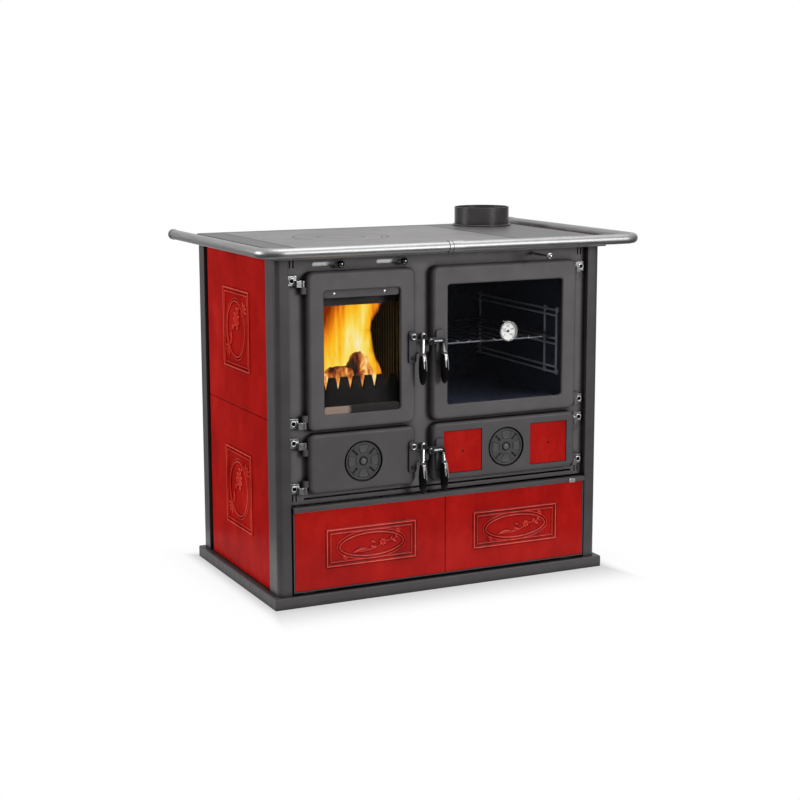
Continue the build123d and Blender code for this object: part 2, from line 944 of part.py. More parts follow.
# Ash door and its register
ash_register_x = middle(left_door)
with BuildPart() as ash_door:
    door_blank(left_door, lower_row)
    soften(ash_door)
    hollow_back(left_door, lower_row)
    register_seat(ash_register_x)
    door_rim(left_door, lower_row)
    hinge_lugs(left_door[0], left_pin_x, lower_row)
ash_register = make_register(ash_register_x)

# Lower door with two inset tiles and its register
lower_register_x = middle(right_door) + lower_register_shift
tile_reach = register_r + lower_tile_register_gap
lower_tile_x = (
    (right_door[0] + lower_tile_left_inset, lower_register_x - tile_reach),
    (lower_register_x + tile_reach, right_door[1] - lower_tile_right_inset),
)
lower_tile_z = (register_z - lower_tile_height / 2, register_z + lower_tile_height / 2)
with BuildPart() as lower_door:
    door_blank(right_door, lower_row)
    soften(lower_door)
    hollow_back(right_door, lower_row)
    register_seat(lower_register_x)
    for tile_x in lower_tile_x:
        block(
            inset(tile_x, -lower_tile_gap),
            (door_front, door_front + lower_tile_t),
            inset(lower_tile_z, -lower_tile_gap),
            mode=Mode.SUBTRACT,
        )
    door_rim(right_door, lower_row)
    hinge_lugs(right_door[1], right_pin_x, lower_row)
lower_register = make_register(lower_register_x)

with BuildPart() as lower_door_tiles:
    for tile_x in lower_tile_x:
        block(tile_x, (door_front + lower_tile_recess, door_front + lower_tile_t), lower_tile_z)
        rod(
            (middle(tile_x), door_front + lower_tile_t, register_z),
            (0, -1, 0),
            lower_tile_t,
            lower_tile_hole_d / 2,
            mode=Mode.SUBTRACT,
        )


def make_bracket(plate_x, pivot_x, pivot_z, plate_top, with_screws):
    """A handle plate on the door, with an ear that carries the lever's pivot pin."""
    plate_front = door_front - handle_plate_t
    half = handle_plate_width / 2
    with BuildPart() as bracket:
        panel(
            (plate_x - half, plate_x + half),
            (plate_top - handle_plate_height, plate_top),
            door_front,
            handle_plate_t,
            handle_plate_corner_r,
        )
        block(
            sorted((plate_x, pivot_x)),
            (plate_front, door_front),
            (pivot_z - handle_ear_r, pivot_z + handle_ear_r),
        )
        rod((pivot_x, door_front, pivot_z), (0, -1, 0), handle_plate_t, handle_ear_r)
        if with_screws:
            rod(
                (plate_x, plate_front, plate_top - handle_plate_above),
                (0, -1, 0),
                handle_boss_height,
                handle_boss_d / 2,
            )
            rod(
                (plate_x, plate_front, plate_top - handle_plate_above - handle_screw_drop),
                (0, -1, 0),
                handle_screw_height,
                handle_screw_d / 2,
            )
        rod(
            (pivot_x, plate_front, pivot_z),
            (0, -1, 0),
            handle_hub_length + 2 * clearance,
            handle_pin_r,
        )
        rod(
            (pivot_x, plate_front - handle_hub_length - 2 * clearance, pivot_z),
            (0, -1, 0),
            handle_head_t,
            handle_head_r,
        )
    return bracket


def make_lever(pivot_x, pivot_z, grip_offset, grip_top):
    """A chrome lever: hub, arm, knee and a neck that ends in the grip's ferrule."""
    hub_back = door_front - handle_plate_t - clearance
    hub_y = hub_back - handle_hub_length / 2
    grip_x = pivot_x + grip_offset
    grip_y = door_front - handle_stand_off
    ferrule_top = pivot_z - grip_top + handle_ferrule_height
    with BuildPart() as lever:
        rod((pivot_x, hub_back, pivot_z), (0, -1, 0), handle_hub_length, handle_ear_r)
        arm_x = grip_x if abs(grip_offset) > handle_ear_r else pivot_x
        if arm_x != pivot_x:
            side = 1 if grip_offset > 0 else -1
            start = pivot_x + side * handle_ear_r / 2
            rod((start, hub_y, pivot_z), (side, 0, 0), abs(arm_x - start), handle_arm_r)
            rod((arm_x, hub_y, pivot_z - handle_knee_r), (0, 0, 1), 2 * handle_knee_r, handle_knee_r)
        neck_top = Vector(arm_x, hub_y, pivot_z - handle_knee_r)
        neck = Vector(grip_x, grip_y, ferrule_top - handle_neck_end) - neck_top
        rod(neck_top, neck, neck.length, handle_arm_r)
        rod(
            (grip_x, grip_y, ferrule_top),
            (0, 0, -1),
            handle_ferrule_height,
            handle_ferrule_r,
        )
        rod(
            (pivot_x, hub_back, pivot_z),
            (0, -1, 0),
            handle_hub_length,
            handle_pin_r + pin_clearance,
            mode=Mode.SUBTRACT,
        )
    return lever


def make_grip(pivot_x, pivot_z, grip_offset, grip_top):
    """A turned grip, fullest above its middle and drawn in to a blunt end."""
    top = (pivot_x + grip_offset, door_front - handle_stand_off, pivot_z - grip_top)
    axis_plane = Plane(origin=top, x_dir=(1, 0, 0), z_dir=(0, -1, 0))
    with BuildPart() as grip:
        with BuildSketch(axis_plane):
            Polygon(
                (0, 0),
                (handle_grip_neck_r, 0),
                (handle_grip_shoulder_r, -handle_grip_shoulder_z),
                (handle_grip_r, -handle_grip_belly_z),
                (handle_grip_tail_r, -handle_grip_tail_z),
                (handle_grip_tip_r, -handle_grip_tip_z),
                (handle_grip_end_r, -handle_grip_length),
                (0, -handle_grip_length),
                align=None,
            )
        revolve(axis=Axis(top, (0, 0, 1)))
    return grip


left_plate_x = left_door[1] - handle_plate_inset
right_plate_x = right_door[0] + handle_plate_inset_right
left_pivot_x = left_door[1] + handle_pivot_reach
right_pivot_x = right_door[0] - handle_pivot_reach_right
handle_sets = {}
for row_name, handle_z in (("upper", handle_upper_z), ("lower", handle_lower_z)):
    plate_top = handle_z + handle_plate_above
    for side_name in ("left", "right"):
        on_left = side_name == "left"
        plate_x = left_plate_x if on_left else right_plate_x
        pivot_x = left_pivot_x if on_left else right_pivot_x
        pivot_z = handle_z if on_left else handle_z - handle_pivot_drop_right
        grip_offset = handle_grip_offset_left if on_left else handle_grip_offset_right
        grip_top = handle_grip_top_left if on_left else handle_grip_top_right
        handle_sets[row_name, side_name] = (
            make_bracket(plate_x, pivot_x, pivot_z, plate_top, on_left),
            make_lever(pivot_x, pivot_z, grip_offset, grip_top),
            make_grip(pivot_x, pivot_z, grip_offset, grip_top),
        )

# Hearth plate with a seat for the grate
lining_y = (facade_back + lining_front_gap, rear_panel_front - lining_rear_gap)
hearth_left = -panel_inner_x
hearth_right = left_mouth_x[1] + lining_t + hearth_side_lip
hearth_back = lining_y[1] + lining_t + hearth_rear_lip
grate_x = inset(left_mouth_x, grate_side_gap)
grate_y = (facade_back + grate_front_gap, lining_y[1] - grate_rear_gap)
hearth_z = (hearth_top - hearth_t, hearth_top)
grate_z = (hearth_top - grate_t, hearth_top)
with BuildPart() as hearth_plate:
    block((hearth_left, hearth_right), (post_rear, hearth_back), hearth_z)
    block((-post_inner, hearth_right), (facade_back, post_rear), hearth_z)
    block(
        inset(grate_x, -grate_seat_gap),
        inset(grate_y, -grate_seat_gap),
        grate_z,
        mode=Mode.SUBTRACT,
    )
    block(inset(grate_x, grate_lap), inset(grate_y, grate_lap), hearth_z, mode=Mode.SUBTRACT)

# Fire grate: a frame with bars
grate_width = grate_x[1] - grate_x[0]
grate_depth = grate_y[1] - grate_y[0]
with BuildPart() as fire_grate:
    with BuildSketch(Plane.XY.offset(grate_z[0])):
        with Locations((middle(grate_x), middle(grate_y))):
            Rectangle(grate_width, grate_depth)
            Rectangle(
                grate_width - 4 * grate_lap, grate_depth - 4 * grate_lap, mode=Mode.SUBTRACT
            )
            bar_pitch = (grate_width - 4 * grate_lap) / grate_bars
            with GridLocations(bar_pitch, 1, grate_bars, 1):
                Rectangle(grate_bar_width, grate_depth - 3 * grate_lap)
    extrude(amount=grate_t)

# Firebox lining: three ribbed plates standing on the hearth, with a lintel over the mouth
lining_z = (hearth_top, upper_row[1] - lining_top_gap)
lining_depth = lining_y[1] - lining_y[0]
lining_height = lining_z[1] - lining_z[0]
with BuildPart() as firebox_lining:
    left_face = left_mouth_x[0]
    right_face = left_mouth_x[1]
    block((left_face - lining_t, left_face), lining_y, lining_z)
    block((right_face, right_face + lining_t), lining_y, lining_z)
    block(
        (left_face - lining_t, right_face + lining_t),
        (lining_y[1], lining_y[1] + lining_t),
        lining_z,
    )
    block(
        (left_face - lining_t, right_face + lining_t),
        (lining_y[0], lining_y[0] + lining_t),
        (lining_z[1] - lintel_height, lining_z[1]),
    )
    side_ribs = int((lining_depth - lining_rib_pitch) / lining_rib_pitch)
    rear_ribs = int((right_face - left_face - lining_rib_pitch) / lining_rib_pitch)
    for face_x, inward in ((left_face, 1), (right_face, -1)):
        with BuildSketch(Plane.XY.offset(lining_z[0])):
            with Locations((face_x + inward * lining_rib_height / 2, middle(lining_y))):
                with GridLocations(1, lining_rib_pitch, 1, side_ribs):
                    Rectangle(lining_rib_height, lining_rib_width)
        extrude(amount=lining_height)
    with BuildSketch(Plane.XY.offset(lining_z[0])):
        with Locations((middle(left_mouth_x), lining_y[1] - lining_rib_height / 2)):
            with GridLocations(lining_rib_pitch, 1, rear_ribs, 1):
                Rectangle(lining_rib_width, lining_rib_height)
    extrude(amount=lining_height)

# Fire fence: a toothed plate that holds the logs off the glass
fence_x = inset(left_mouth_x, fence_side_gap)
with BuildPart() as fire_fence:
    with BuildSketch(front(facade_back + fence_front_gap + fence_t)):
        with Locations((middle(fence_x), hearth_top + fence_base / 2)):
            Rectangle(fence_x[1] - fence_x[0], fence_base)
        tooth_width = (fence_x[1] - fence_x[0]) / fence_teeth
        for tooth in range(fence_teeth):
            tooth_x = fence_x[0] + tooth * tooth_width
            tooth_base = hearth_top + fence_base
            Polygon(
                (tooth_x, tooth_base),
                (tooth_x + tooth_width, tooth_base),
                (tooth_x + tooth_width - fence_tooth_slope, tooth_base + fence_tooth),
                (tooth_x + fence_tooth_slope, tooth_base + fence_tooth),
                align=None,
            )
    extrude(amount=fence_t)

# Ash pan on the stove floor
pan_x = inset(left_mouth_x, ash_pan_margin)
pan_y = (facade_back + ash_pan_gap, lining_y[1] - ash_pan_rear_gap)
pan_z = (floor_top, floor_top + ash_pan_height)
with BuildPart() as ash_pan:
    block(pan_x, pan_y, pan_z)
    block(
        inset(pan_x, ash_pan_wall),
        inset(pan_y, ash_pan_wall),
        (pan_z[0] + ash_pan_wall, pan_z[1]),
        mode=Mode.SUBTRACT,
    )
    block(
        (middle(pan_x) - ash_pan_lip_width / 2, middle(pan_x) + ash_pan_lip_width / 2),
        (pan_y[0] - ash_pan_lip, pan_y[0]),
        (pan_z[1] - ash_pan_wall, pan_z[1]),
    )

# Oven box, open at the front
oven_x = inset(right_mouth_x, -oven_margin)
oven_z = inset(upper_mouth_z, -oven_margin)
oven_y = (facade_back, rear_panel_front - oven_rear_gap)
with BuildPart() as oven_box:
    block(inset(oven_x, -oven_wall), inset(oven_y, 0, -oven_wall), inset(oven_z, -oven_wall))
    block(oven_x, oven_y, oven_z, mode=Mode.SUBTRACT)

# Rack guides: on each side wall, three pairs of wires on three uprights with wall pads
guide_y = inset(oven_y, guide_front_gap, guide_rear_gap)
guide_z = inset(oven_z, guide_bottom_gap, guide_top_gap)
level_pitch = (guide_z[1] - guide_z[0] - guide_pair_gap) / (guide_levels - 1)
level_heights = [guide_z[0] + guide_pair_gap + level * level_pitch for level in range(guide_levels)]
upright_places = (
    guide_y[0] + guide_front_end,
    guide_y[0] + guide_front_step,
    guide_y[1] - guide_rear_end,
)
with BuildPart() as oven_rack_guides:
    for wall_x, inward in ((oven_x[0], 1), (oven_x[1], -1)):
        post_x = wall_x + inward * guide_wire_r
        wire_x = post_x + inward * guide_wire_offset
        for upright_y in upright_places:
            foot = (post_x, upright_y, guide_z[0] - guide_tail)
            rod(foot, (0, 0, 1), guide_z[1] - guide_z[0] + 2 * guide_tail, guide_wire_r)
            for pad_z in guide_z:
                block(
                    sorted((wall_x, post_x)),
                    (upright_y - guide_pad / 2, upright_y + guide_pad / 2),
                    (pad_z - guide_pad / 2, pad_z + guide_pad / 2),
                )
        for upper_z in level_heights:
            for wire_z in (upper_z - guide_pair_gap, upper_z):
                rod((wire_x, guide_y[0], wire_z), (0, 1, 0), guide_y[1] - guide_y[0], guide_wire_r)

# Oven rack resting on the guide wires
rack_z = level_heights[rack_level] + guide_wire_r + rack_wire_r
rack_x = inset(oven_x, 2 * guide_wire_r + rack_side_gap)
rack_y = inset(guide_y, rack_end_gap)
with BuildPart() as oven_rack:
    for bar_y in rack_y:
        rod((rack_x[0], bar_y, rack_z), (1, 0, 0), rack_x[1] - rack_x[0], rack_wire_r)
    rack_pitch = (rack_x[1] - rack_x[0] - 2 * rack_wire_r) / (rack_bars - 1)
    for bar in range(rack_bars):
        bar_x = rack_x[0] + rack_wire_r + bar * rack_pitch
        rod(
            (bar_x, rack_y[0], rack_z + rack_wire_offset),
            (0, 1, 0),
            rack_y[1] - rack_y[0],
            rack_wire_r,
        )

# Hob frame: the cast top with a seat for the hob plate and the flue hole
hob_x = (-hob_half, hob_half)
hob_y = (hob_front, hob_rear)
plate_x = inset(hob_x, hob_plate_left_border, hob_plate_right_border)
plate_y = inset(hob_y, hob_plate_front_border, hob_plate_rear_border)
hob_ring_x = middle(plate_x) + hob_ring_shift_x
hob_ring_y = middle(plate_y) + hob_ring_shift_y
with BuildPart() as hob_frame:
    block(hob_x, hob_y, (body_top, hob_top))
    fillet(hob_frame.edges().filter_by(Axis.Z), hob_corner_r)
    fillet(hob_frame.faces().sort_by(Axis.Z)[-1].edges(), hob_edge_r)
    block(plate_x, plate_y, (hob_top - hob_plate_t, hob_top), mode=Mode.SUBTRACT)
    block(
        inset(plate_x, hob_plate_ledge),
        inset(plate_y, hob_plate_ledge),
        (body_top, hob_top),
        mode=Mode.SUBTRACT,
    )
    rod(
        (collar_x, collar_y, body_top),
        (0, 0, 1),
        hob_t,
        collar_bore_r - collar_stop,
        mode=Mode.SUBTRACT,
    )

# Hob plate with a stepped cooking hole
with BuildPart() as hob_plate:
    block(
        inset(plate_x, hob_plate_gap),
        inset(plate_y, hob_plate_gap),
        (hob_top - hob_plate_t, hob_top),
    )
    with Locations((hob_ring_x, hob_ring_y, hob_top)):
        CounterBoreHole(
            radius=hob_ring_r - hob_ring_ledge,
            counter_bore_radius=hob_ring_r + clearance,
            counter_bore_depth=hob_ring_t,
            depth=hob_plate_t,
        )

# Hob ring with a seat for the disc and two lifting notches
ring_bottom = hob_top - hob_ring_t + seat_gap
with BuildPart() as hob_ring:
    rod((hob_ring_x, hob_ring_y, ring_bottom), (0, 0, 1), hob_ring_t - seat_gap, hob_ring_r)
    with Locations((hob_ring_x, hob_ring_y, hob_top)):
        CounterBoreHole(
            radius=hob_disc_r - hob_disc_ledge,
            counter_bore_radius=hob_disc_r + clearance,
            counter_bore_depth=hob_disc_t + seat_gap,
            depth=hob_ring_t,
        )
    with BuildSketch(Plane.XY.offset(hob_top - hob_notch_depth)):
        with Locations((hob_ring_x, hob_ring_y)):
            with PolarLocations(hob_notch_radius, 1, start_angle=hob_notch_angle):
                SlotOverall(hob_notch_length, hob_notch_width, rotation=90)
    extrude(amount=hob_notch_depth, mode=Mode.SUBTRACT)

with BuildPart() as hob_disc:
    rod((hob_ring_x, hob_ring_y, hob_top - hob_disc_t), (0, 0, 1), hob_disc_t, hob_disc_r)

# Flue collar: a flanged spigot
with BuildPart() as flue_collar:
    rod((collar_x, collar_y, hob_top), (0, 0, 1), collar_flange_t, collar_flange_r)
    chamfer(flue_collar.faces().sort_by(Axis.Z)[-1].edges(), collar_flange_bevel)
    rod((collar_x, collar_y, hob_top), (0, 0, 1), collar_height, collar_bore_r + collar_wall)
    rod(
        (collar_x, collar_y, hob_top),
        (0, 0, 1),
        collar_height,
        collar_bore_r,
        mode=Mode.SUBTRACT,
    )

# Towel rail: two bent tubes that meet at a sleeve
with BuildPart() as rail_left:
    with BuildLine(Plane.XY.offset(rail_z)) as left_path:
        FilletPolyline(
            (rail_joint_x, rail_front_y),
            (-rail_x, rail_front_y),
            (-rail_x, rail_rear_y),
            radius=rail_bend_r,
        )
    with BuildSketch(Plane(origin=left_path.line @ 0, z_dir=left_path.line % 0)):
        Circle(rail_r)
        Circle(rail_r - rail_wall, mode=Mode.SUBTRACT)
    sweep()

with BuildPart() as rail_right:
    with BuildLine(Plane.XY.offset(rail_z)) as right_path:
        FilletPolyline(
            (rail_joint_x, rail_front_y),
            (rail_x, rail_front_y),
            (rail_x, rail_rear_y),
            radius=rail_bend_r,
        )
    with BuildSketch(Plane(origin=right_path.line @ 0, z_dir=right_path.line % 0)):
        Circle(rail_r)
        Circle(rail_r - rail_wall, mode=Mode.SUBTRACT)
    sweep()

# Rail fittings: the joint sleeve, two turned end caps and four brackets on the hob frame
bracket_z = hob_top - rail_bracket_drop
with BuildPart() as rail_fittings:
    sleeve_start = (rail_joint_x - rail_sleeve_length / 2, rail_front_y, rail_z)
    with BuildSketch(Plane(origin=sleeve_start, z_dir=(1, 0, 0))):
        Circle(rail_r + rail_sleeve_wall)
        Circle(rail_r + pin_clearance, mode=Mode.SUBTRACT)
    extrude(amount=rail_sleeve_length)
    sleeve_groove = (rail_joint_x - rail_sleeve_groove_x, rail_front_y, rail_z)
    with BuildSketch(Plane(origin=sleeve_groove, z_dir=(1, 0, 0))):
        Circle(rail_d)
        Circle(rail_r + rail_sleeve_wall - rail_sleeve_groove, mode=Mode.SUBTRACT)
    extrude(amount=rail_sleeve_groove_width, mode=Mode.SUBTRACT)
    for side in (-1, 1):
        rod((side * rail_x, rail_rear_y, rail_z), (0, 1, 0), rail_cap_length, rail_cap_d / 2)
        groove_start = (side * rail_x, rail_rear_y + rail_cap_groove_y, rail_z)
        with BuildSketch(Plane(origin=groove_start, z_dir=(0, 1, 0))):
            Circle(rail_cap_d)
            Circle(rail_cap_d / 2 - rail_cap_groove, mode=Mode.SUBTRACT)
        extrude(amount=rail_cap_groove, mode=Mode.SUBTRACT)
        for bracket_y in inset(hob_y, rail_bracket_front_inset, rail_bracket_rear_inset):
            block(
                sorted((side * hob_half, side * (hob_half + rail_foot_t))),
                (bracket_y - rail_foot_length / 2, bracket_y + rail_foot_length / 2),
                (bracket_z - rail_foot_height / 2, bracket_z + rail_foot_height / 2),
            )
            rod(
                (side * (hob_half + rail_foot_t), bracket_y, bracket_z),
                (side, 0, 0),
                rail_x - hob_half - rail_foot_t,
                rail_stub_d / 2,
            )
            rod(
                (side * rail_x, bracket_y - rail_foot_length, rail_z),
                (0, 1, 0),
                2 * rail_foot_length,
                rail_r,
                mode=Mode.SUBTRACT,
            )
    chamfer(rail_fittings.faces().group_by(Axis.Y)[-1].edges(), rail_cap_bevel)


def make_slider(slot_x):
    """An air slide behind the facade, with a stem through the slot and a ball knob."""
    knob_x = slot_x + slot_length / 2 - slot_height / 2 - slider_stem_r
    plate_front = facade_back + clearance
    with BuildPart() as slider:
        block(
            (slot_x - slider_half, slot_x + slider_half),
            (plate_front, plate_front + slider_plate_t),
            (slot_z - slider_plate_height / 2, slot_z + slider_plate_height / 2),
        )
        rod(
            (knob_x, plate_front, slot_z),
            (0, -1, 0),
            facade_t + clearance + slider_knob_reach,
            slider_stem_r,
        )
        ball((knob_x, facade_front - slider_knob_reach, slot_z), slider_knob_r)
    return slider


air_slider_left = make_slider(slot_left_x)
air_slider_right = make_slider(slot_right_x)

# Smoke damper rod with its ball knob and the damper plate inside
with BuildPart() as smoke_rod:
    rod(
        (smoke_rod_x, facade_front - smoke_rod_out, smoke_rod_z),
        (0, 1, 0),
        smoke_rod_out + facade_t + smoke_rod_in,
        smoke_rod_r,
    )
    ball((smoke_rod_x, facade_front - smoke_rod_out, smoke_rod_z), smoke_knob_r)
    plate_start = facade_back + smoke_rod_in
    block(
        (smoke_rod_x - smoke_plate_width / 2, smoke_rod_x + smoke_plate_width / 2),
        (plate_start, plate_start + smoke_plate_length),
        (smoke_rod_z - smoke_plate_t / 2, smoke_rod_z + smoke_plate_t / 2),
    )

# Drawer front: a folded sheet with a lip over two relief tiles
drawer_half = post_inner - drawer_side_gap
drawer_bottom = plinth_height + drawer_floor_gap
drawer_top = facade_bottom - drawer_top_gap
drawer_plate_back = post_front + drawer_front_inset
drawer_plate_front = drawer_plate_back - drawer_sheet
drawer_tile_z = (drawer_bottom + drawer_border, drawer_top - drawer_lip_height)
with BuildPart() as drawer_front:
    block(
        (-drawer_half, drawer_half),
        (drawer_plate_front, drawer_plate_back),
        (drawer_bottom, drawer_top),
    )
    with BuildSketch(Plane(origin=(-drawer_half, 0, 0), x_dir=(0, 1, 0), z_dir=(1, 0, 0))):
        lip_front = drawer_plate_front - drawer_lip_front
        Polygon(
            (drawer_plate_front, drawer_tile_z[1]),
            (lip_front, drawer_tile_z[1]),
            (lip_front, drawer_top - drawer_lip_bevel),
            (lip_front + drawer_lip_bevel, drawer_top),
            (drawer_plate_front, drawer_top),
            align=None,
        )
    extrude(amount=2 * drawer_half)
    border_y = (drawer_plate_front - drawer_tile_t, drawer_plate_front)
    block((-drawer_half, drawer_half), border_y, (drawer_bottom, drawer_tile_z[0]))
    for side in (-1, 1):
        block(
            sorted((side * drawer_half, side * (drawer_half - drawer_border))),
            border_y,
            (drawer_bottom, drawer_tile_z[1]),
        )

drawer_tile_x = (
    (-drawer_half + drawer_border, drawer_tile_seam_x - drawer_tile_gap / 2),
    (drawer_tile_seam_x + drawer_tile_gap / 2, drawer_half - drawer_border),
)
with BuildPart() as drawer_tiles:
    for tile_x in drawer_tile_x:
        block(tile_x, border_y, drawer_tile_z)
        relief(
            Plane(
                origin=(middle(tile_x), border_y[0], middle(drawer_tile_z)),
                x_dir=(1, 0, 0),
                z_dir=(0, -1, 0),
            ),
            drawer_relief_width,
            drawer_relief_height,
        )

# Drawer box on its runners
runner_top = plinth_height + runner_height
drawer_box_z = (runner_top + clearance, drawer_top - drawer_box_top_gap)
drawer_box_x = inset((-drawer_half, drawer_half), drawer_box_side_gap)
drawer_box_y = (drawer_plate_back, rear_panel_front - drawer_box_rear_gap)
with BuildPart() as drawer_box:
    block(drawer_box_x, drawer_box_y, drawer_box_z)
    block(
        inset(drawer_box_x, drawer_box_wall),
        inset(drawer_box_y, drawer_box_wall),
        (drawer_box_z[0] + drawer_box_wall, drawer_box_z[1]),
        mode=Mode.SUBTRACT,
    )

# Drawer catch on the lip
drawer_latch_x = drawer_half - drawer_latch_inset
with BuildPart() as drawer_latch:
    panel(
        (drawer_latch_x - drawer_latch_width / 2, drawer_latch_x + drawer_latch_width / 2),
        (drawer_tile_z[1], drawer_tile_z[1] + drawer_latch_height),
        drawer_plate_front - drawer_lip_front,
        drawer_latch_t,
        drawer_latch_corner_r,
    )

# Drawer runners on the plinth
with BuildPart() as drawer_runners:
    web_x = drawer_box_x[1] + clearance
    block(
        (web_x + runner_web_t - runner_width, web_x + runner_web_t),
        drawer_box_y,
        (plinth_height, runner_top),
    )
    block(
        (web_x, web_x + runner_web_t), drawer_box_y, (plinth_height, plinth_height + runner_web_height)
    )
    mirror(about=Plane.YZ)

pieces = {
    "plinth": plinth,
    "front_posts": front_posts,
    "rear_posts": rear_posts,
    "rear_panel": rear_panel,
    "side_panels": side_panels,
    "side_tiles": side_tiles,
    "stove_floor": stove_floor,
    "facade": facade,
    "hinge_brackets": hinge_brackets,
    "hinge_bolts": hinge_bolts,
    "door_catches": door_catches,
    "hearth_plate": hearth_plate,
    "fire_grate": fire_grate,
    "firebox_lining": firebox_lining,
    "fire_fence": fire_fence,
    "ash_pan": ash_pan,
    "oven_box": oven_box,
    "oven_rack_guides": oven_rack_guides,
    "oven_rack": oven_rack,
    "hob_frame": hob_frame,
    "hob_plate": hob_plate,
    "hob_ring": hob_ring,
    "hob_disc": hob_disc,
    "flue_collar": flue_collar,
    "rail_left": rail_left,
    "rail_right": rail_right,
    "rail_fittings": rail_fittings,
    "firebox_door": firebox_door,
    "firebox_glass": firebox_glass,
    "firebox_glass_strip": firebox_glass_strip,
    "firebox_door_gasket": firebox_door_gasket,
    "ash_door": ash_door,
    "ash_register": ash_register,
    "oven_door": oven_door,
    "oven_glass": oven_glass,
    "oven_thermometer": oven_thermometer,
    "thermometer_needle": thermometer_needle,
    "lower_door": lower_door,
    "lower_door_tiles": lower_door_tiles,
    "lower_register": lower_register,
    "air_slider_left": air_slider_left,
    "air_slider_right": air_slider_right,
    "smoke_rod": smoke_rod,
    "drawer_front": drawer_front,
    "drawer_tiles": drawer_tiles,
    "drawer_box": drawer_box,
    "drawer_latch": drawer_latch,
    "drawer_runners": drawer_runners,
}
door_of_handle = {
    ("upper", "left"): "firebox",
    ("upper", "right"): "oven",
    ("lower", "left"): "ash",
    ("lower", "right"): "lower",
}
for place, (bracket, lever, grip) in handle_sets.items():
    door = door_of_handle[place]
    pieces[door + "_handle_bracket"] = bracket
    pieces[door + "_handle_lever"] = lever
    pieces[door + "_handle_grip"] = grip

for name, piece in pieces.items():
    piece.part.label = name
    export_step(piece.part, f"parts/{name}.step")
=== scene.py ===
import math
import random

import bmesh
import bpy
import numpy as np
from mathutils import Matrix, Vector, noise


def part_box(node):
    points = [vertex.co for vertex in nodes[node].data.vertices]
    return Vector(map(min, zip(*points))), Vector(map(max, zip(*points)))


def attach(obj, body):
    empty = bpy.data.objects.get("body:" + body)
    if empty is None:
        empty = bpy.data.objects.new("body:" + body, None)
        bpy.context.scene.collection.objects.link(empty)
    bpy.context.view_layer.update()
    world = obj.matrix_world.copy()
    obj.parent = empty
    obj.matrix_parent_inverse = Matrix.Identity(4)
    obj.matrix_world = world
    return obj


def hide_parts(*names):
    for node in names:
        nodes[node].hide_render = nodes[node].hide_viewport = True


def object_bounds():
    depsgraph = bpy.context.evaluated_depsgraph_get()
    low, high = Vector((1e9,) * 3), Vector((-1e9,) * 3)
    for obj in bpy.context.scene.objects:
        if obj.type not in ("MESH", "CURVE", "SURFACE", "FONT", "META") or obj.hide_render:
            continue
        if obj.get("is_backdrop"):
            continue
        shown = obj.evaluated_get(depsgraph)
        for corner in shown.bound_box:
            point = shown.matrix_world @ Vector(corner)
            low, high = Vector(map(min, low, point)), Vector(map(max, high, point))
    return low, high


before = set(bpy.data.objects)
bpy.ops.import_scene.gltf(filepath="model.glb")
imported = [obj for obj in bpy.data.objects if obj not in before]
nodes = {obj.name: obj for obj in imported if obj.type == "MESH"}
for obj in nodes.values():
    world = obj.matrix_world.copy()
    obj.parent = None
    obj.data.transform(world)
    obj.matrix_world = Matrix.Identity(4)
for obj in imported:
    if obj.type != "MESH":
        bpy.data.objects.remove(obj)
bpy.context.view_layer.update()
scene = bpy.context.scene
MM = 0.001
# Direction that the stove's front faces
FORWARD = Vector((0, -1, 0))

# Camera at the photograph's viewpoint
CAMERA_AT = Vector((-1.8631, -3.8604, 1.2015))
CAMERA_YAW = 25.653
CAMERA_PITCH = 10.103
CAMERA_ROLL = -0.1375
CAMERA_LENS = 75.86
SENSOR = 36.0


def add_camera():
    data = bpy.data.cameras.new("camera")
    data.sensor_width = SENSOR
    data.lens = CAMERA_LENS
    camera = bpy.data.objects.new("camera", data)
    place = Matrix.Translation(CAMERA_AT)
    for angle, axis in ((-CAMERA_YAW, "Z"), (90.0 - CAMERA_PITCH, "X"), (CAMERA_ROLL, "Z")):
        place = place @ Matrix.Rotation(math.radians(angle), 4, axis)
    camera.matrix_world = place
    scene.collection.objects.link(camera)
    scene.camera = camera


# Materials
# Ends of the usual spread of a noise texture
NOISE_SPREAD = (0.3, 0.7)
# Sandy skin of castings
GRAIN_SCALE = 620.0
GRAIN_DEPTH = 0.5 * MM
# Tint, rounded edge and painted crevice shade of painted iron; painted crevice shade of steel and of
# small fittings
PAINT_TINT = 0.045
PAINT_EDGE = 1.2 * MM
IRON_SHADE_REACH = 18.0 * MM
IRON_SHADE_DARK = 0.08
STEEL_SHADE_REACH = 40.0 * MM
STEEL_SHADE_CLEAR = 0.7
METAL_SHADE_DARK = 0.05
# Painted shade beside the hob's seams and round its rings: where it starts and ends, and what it leaves
# of the tone
SEAM_START = 3.0 * MM
SEAM_END = 8.0 * MM
SEAM_DARK = 0.05
RING_START = 0.8 * MM
RING_END = 3.2 * MM
RING_DARK = 0.25
PANE_IOR = 1.2
PANE_ROUGH = 0.02
# Light of the flames on the firebox, as a multiple of what the camera sees of them
FLAME_LIGHT = 2.0


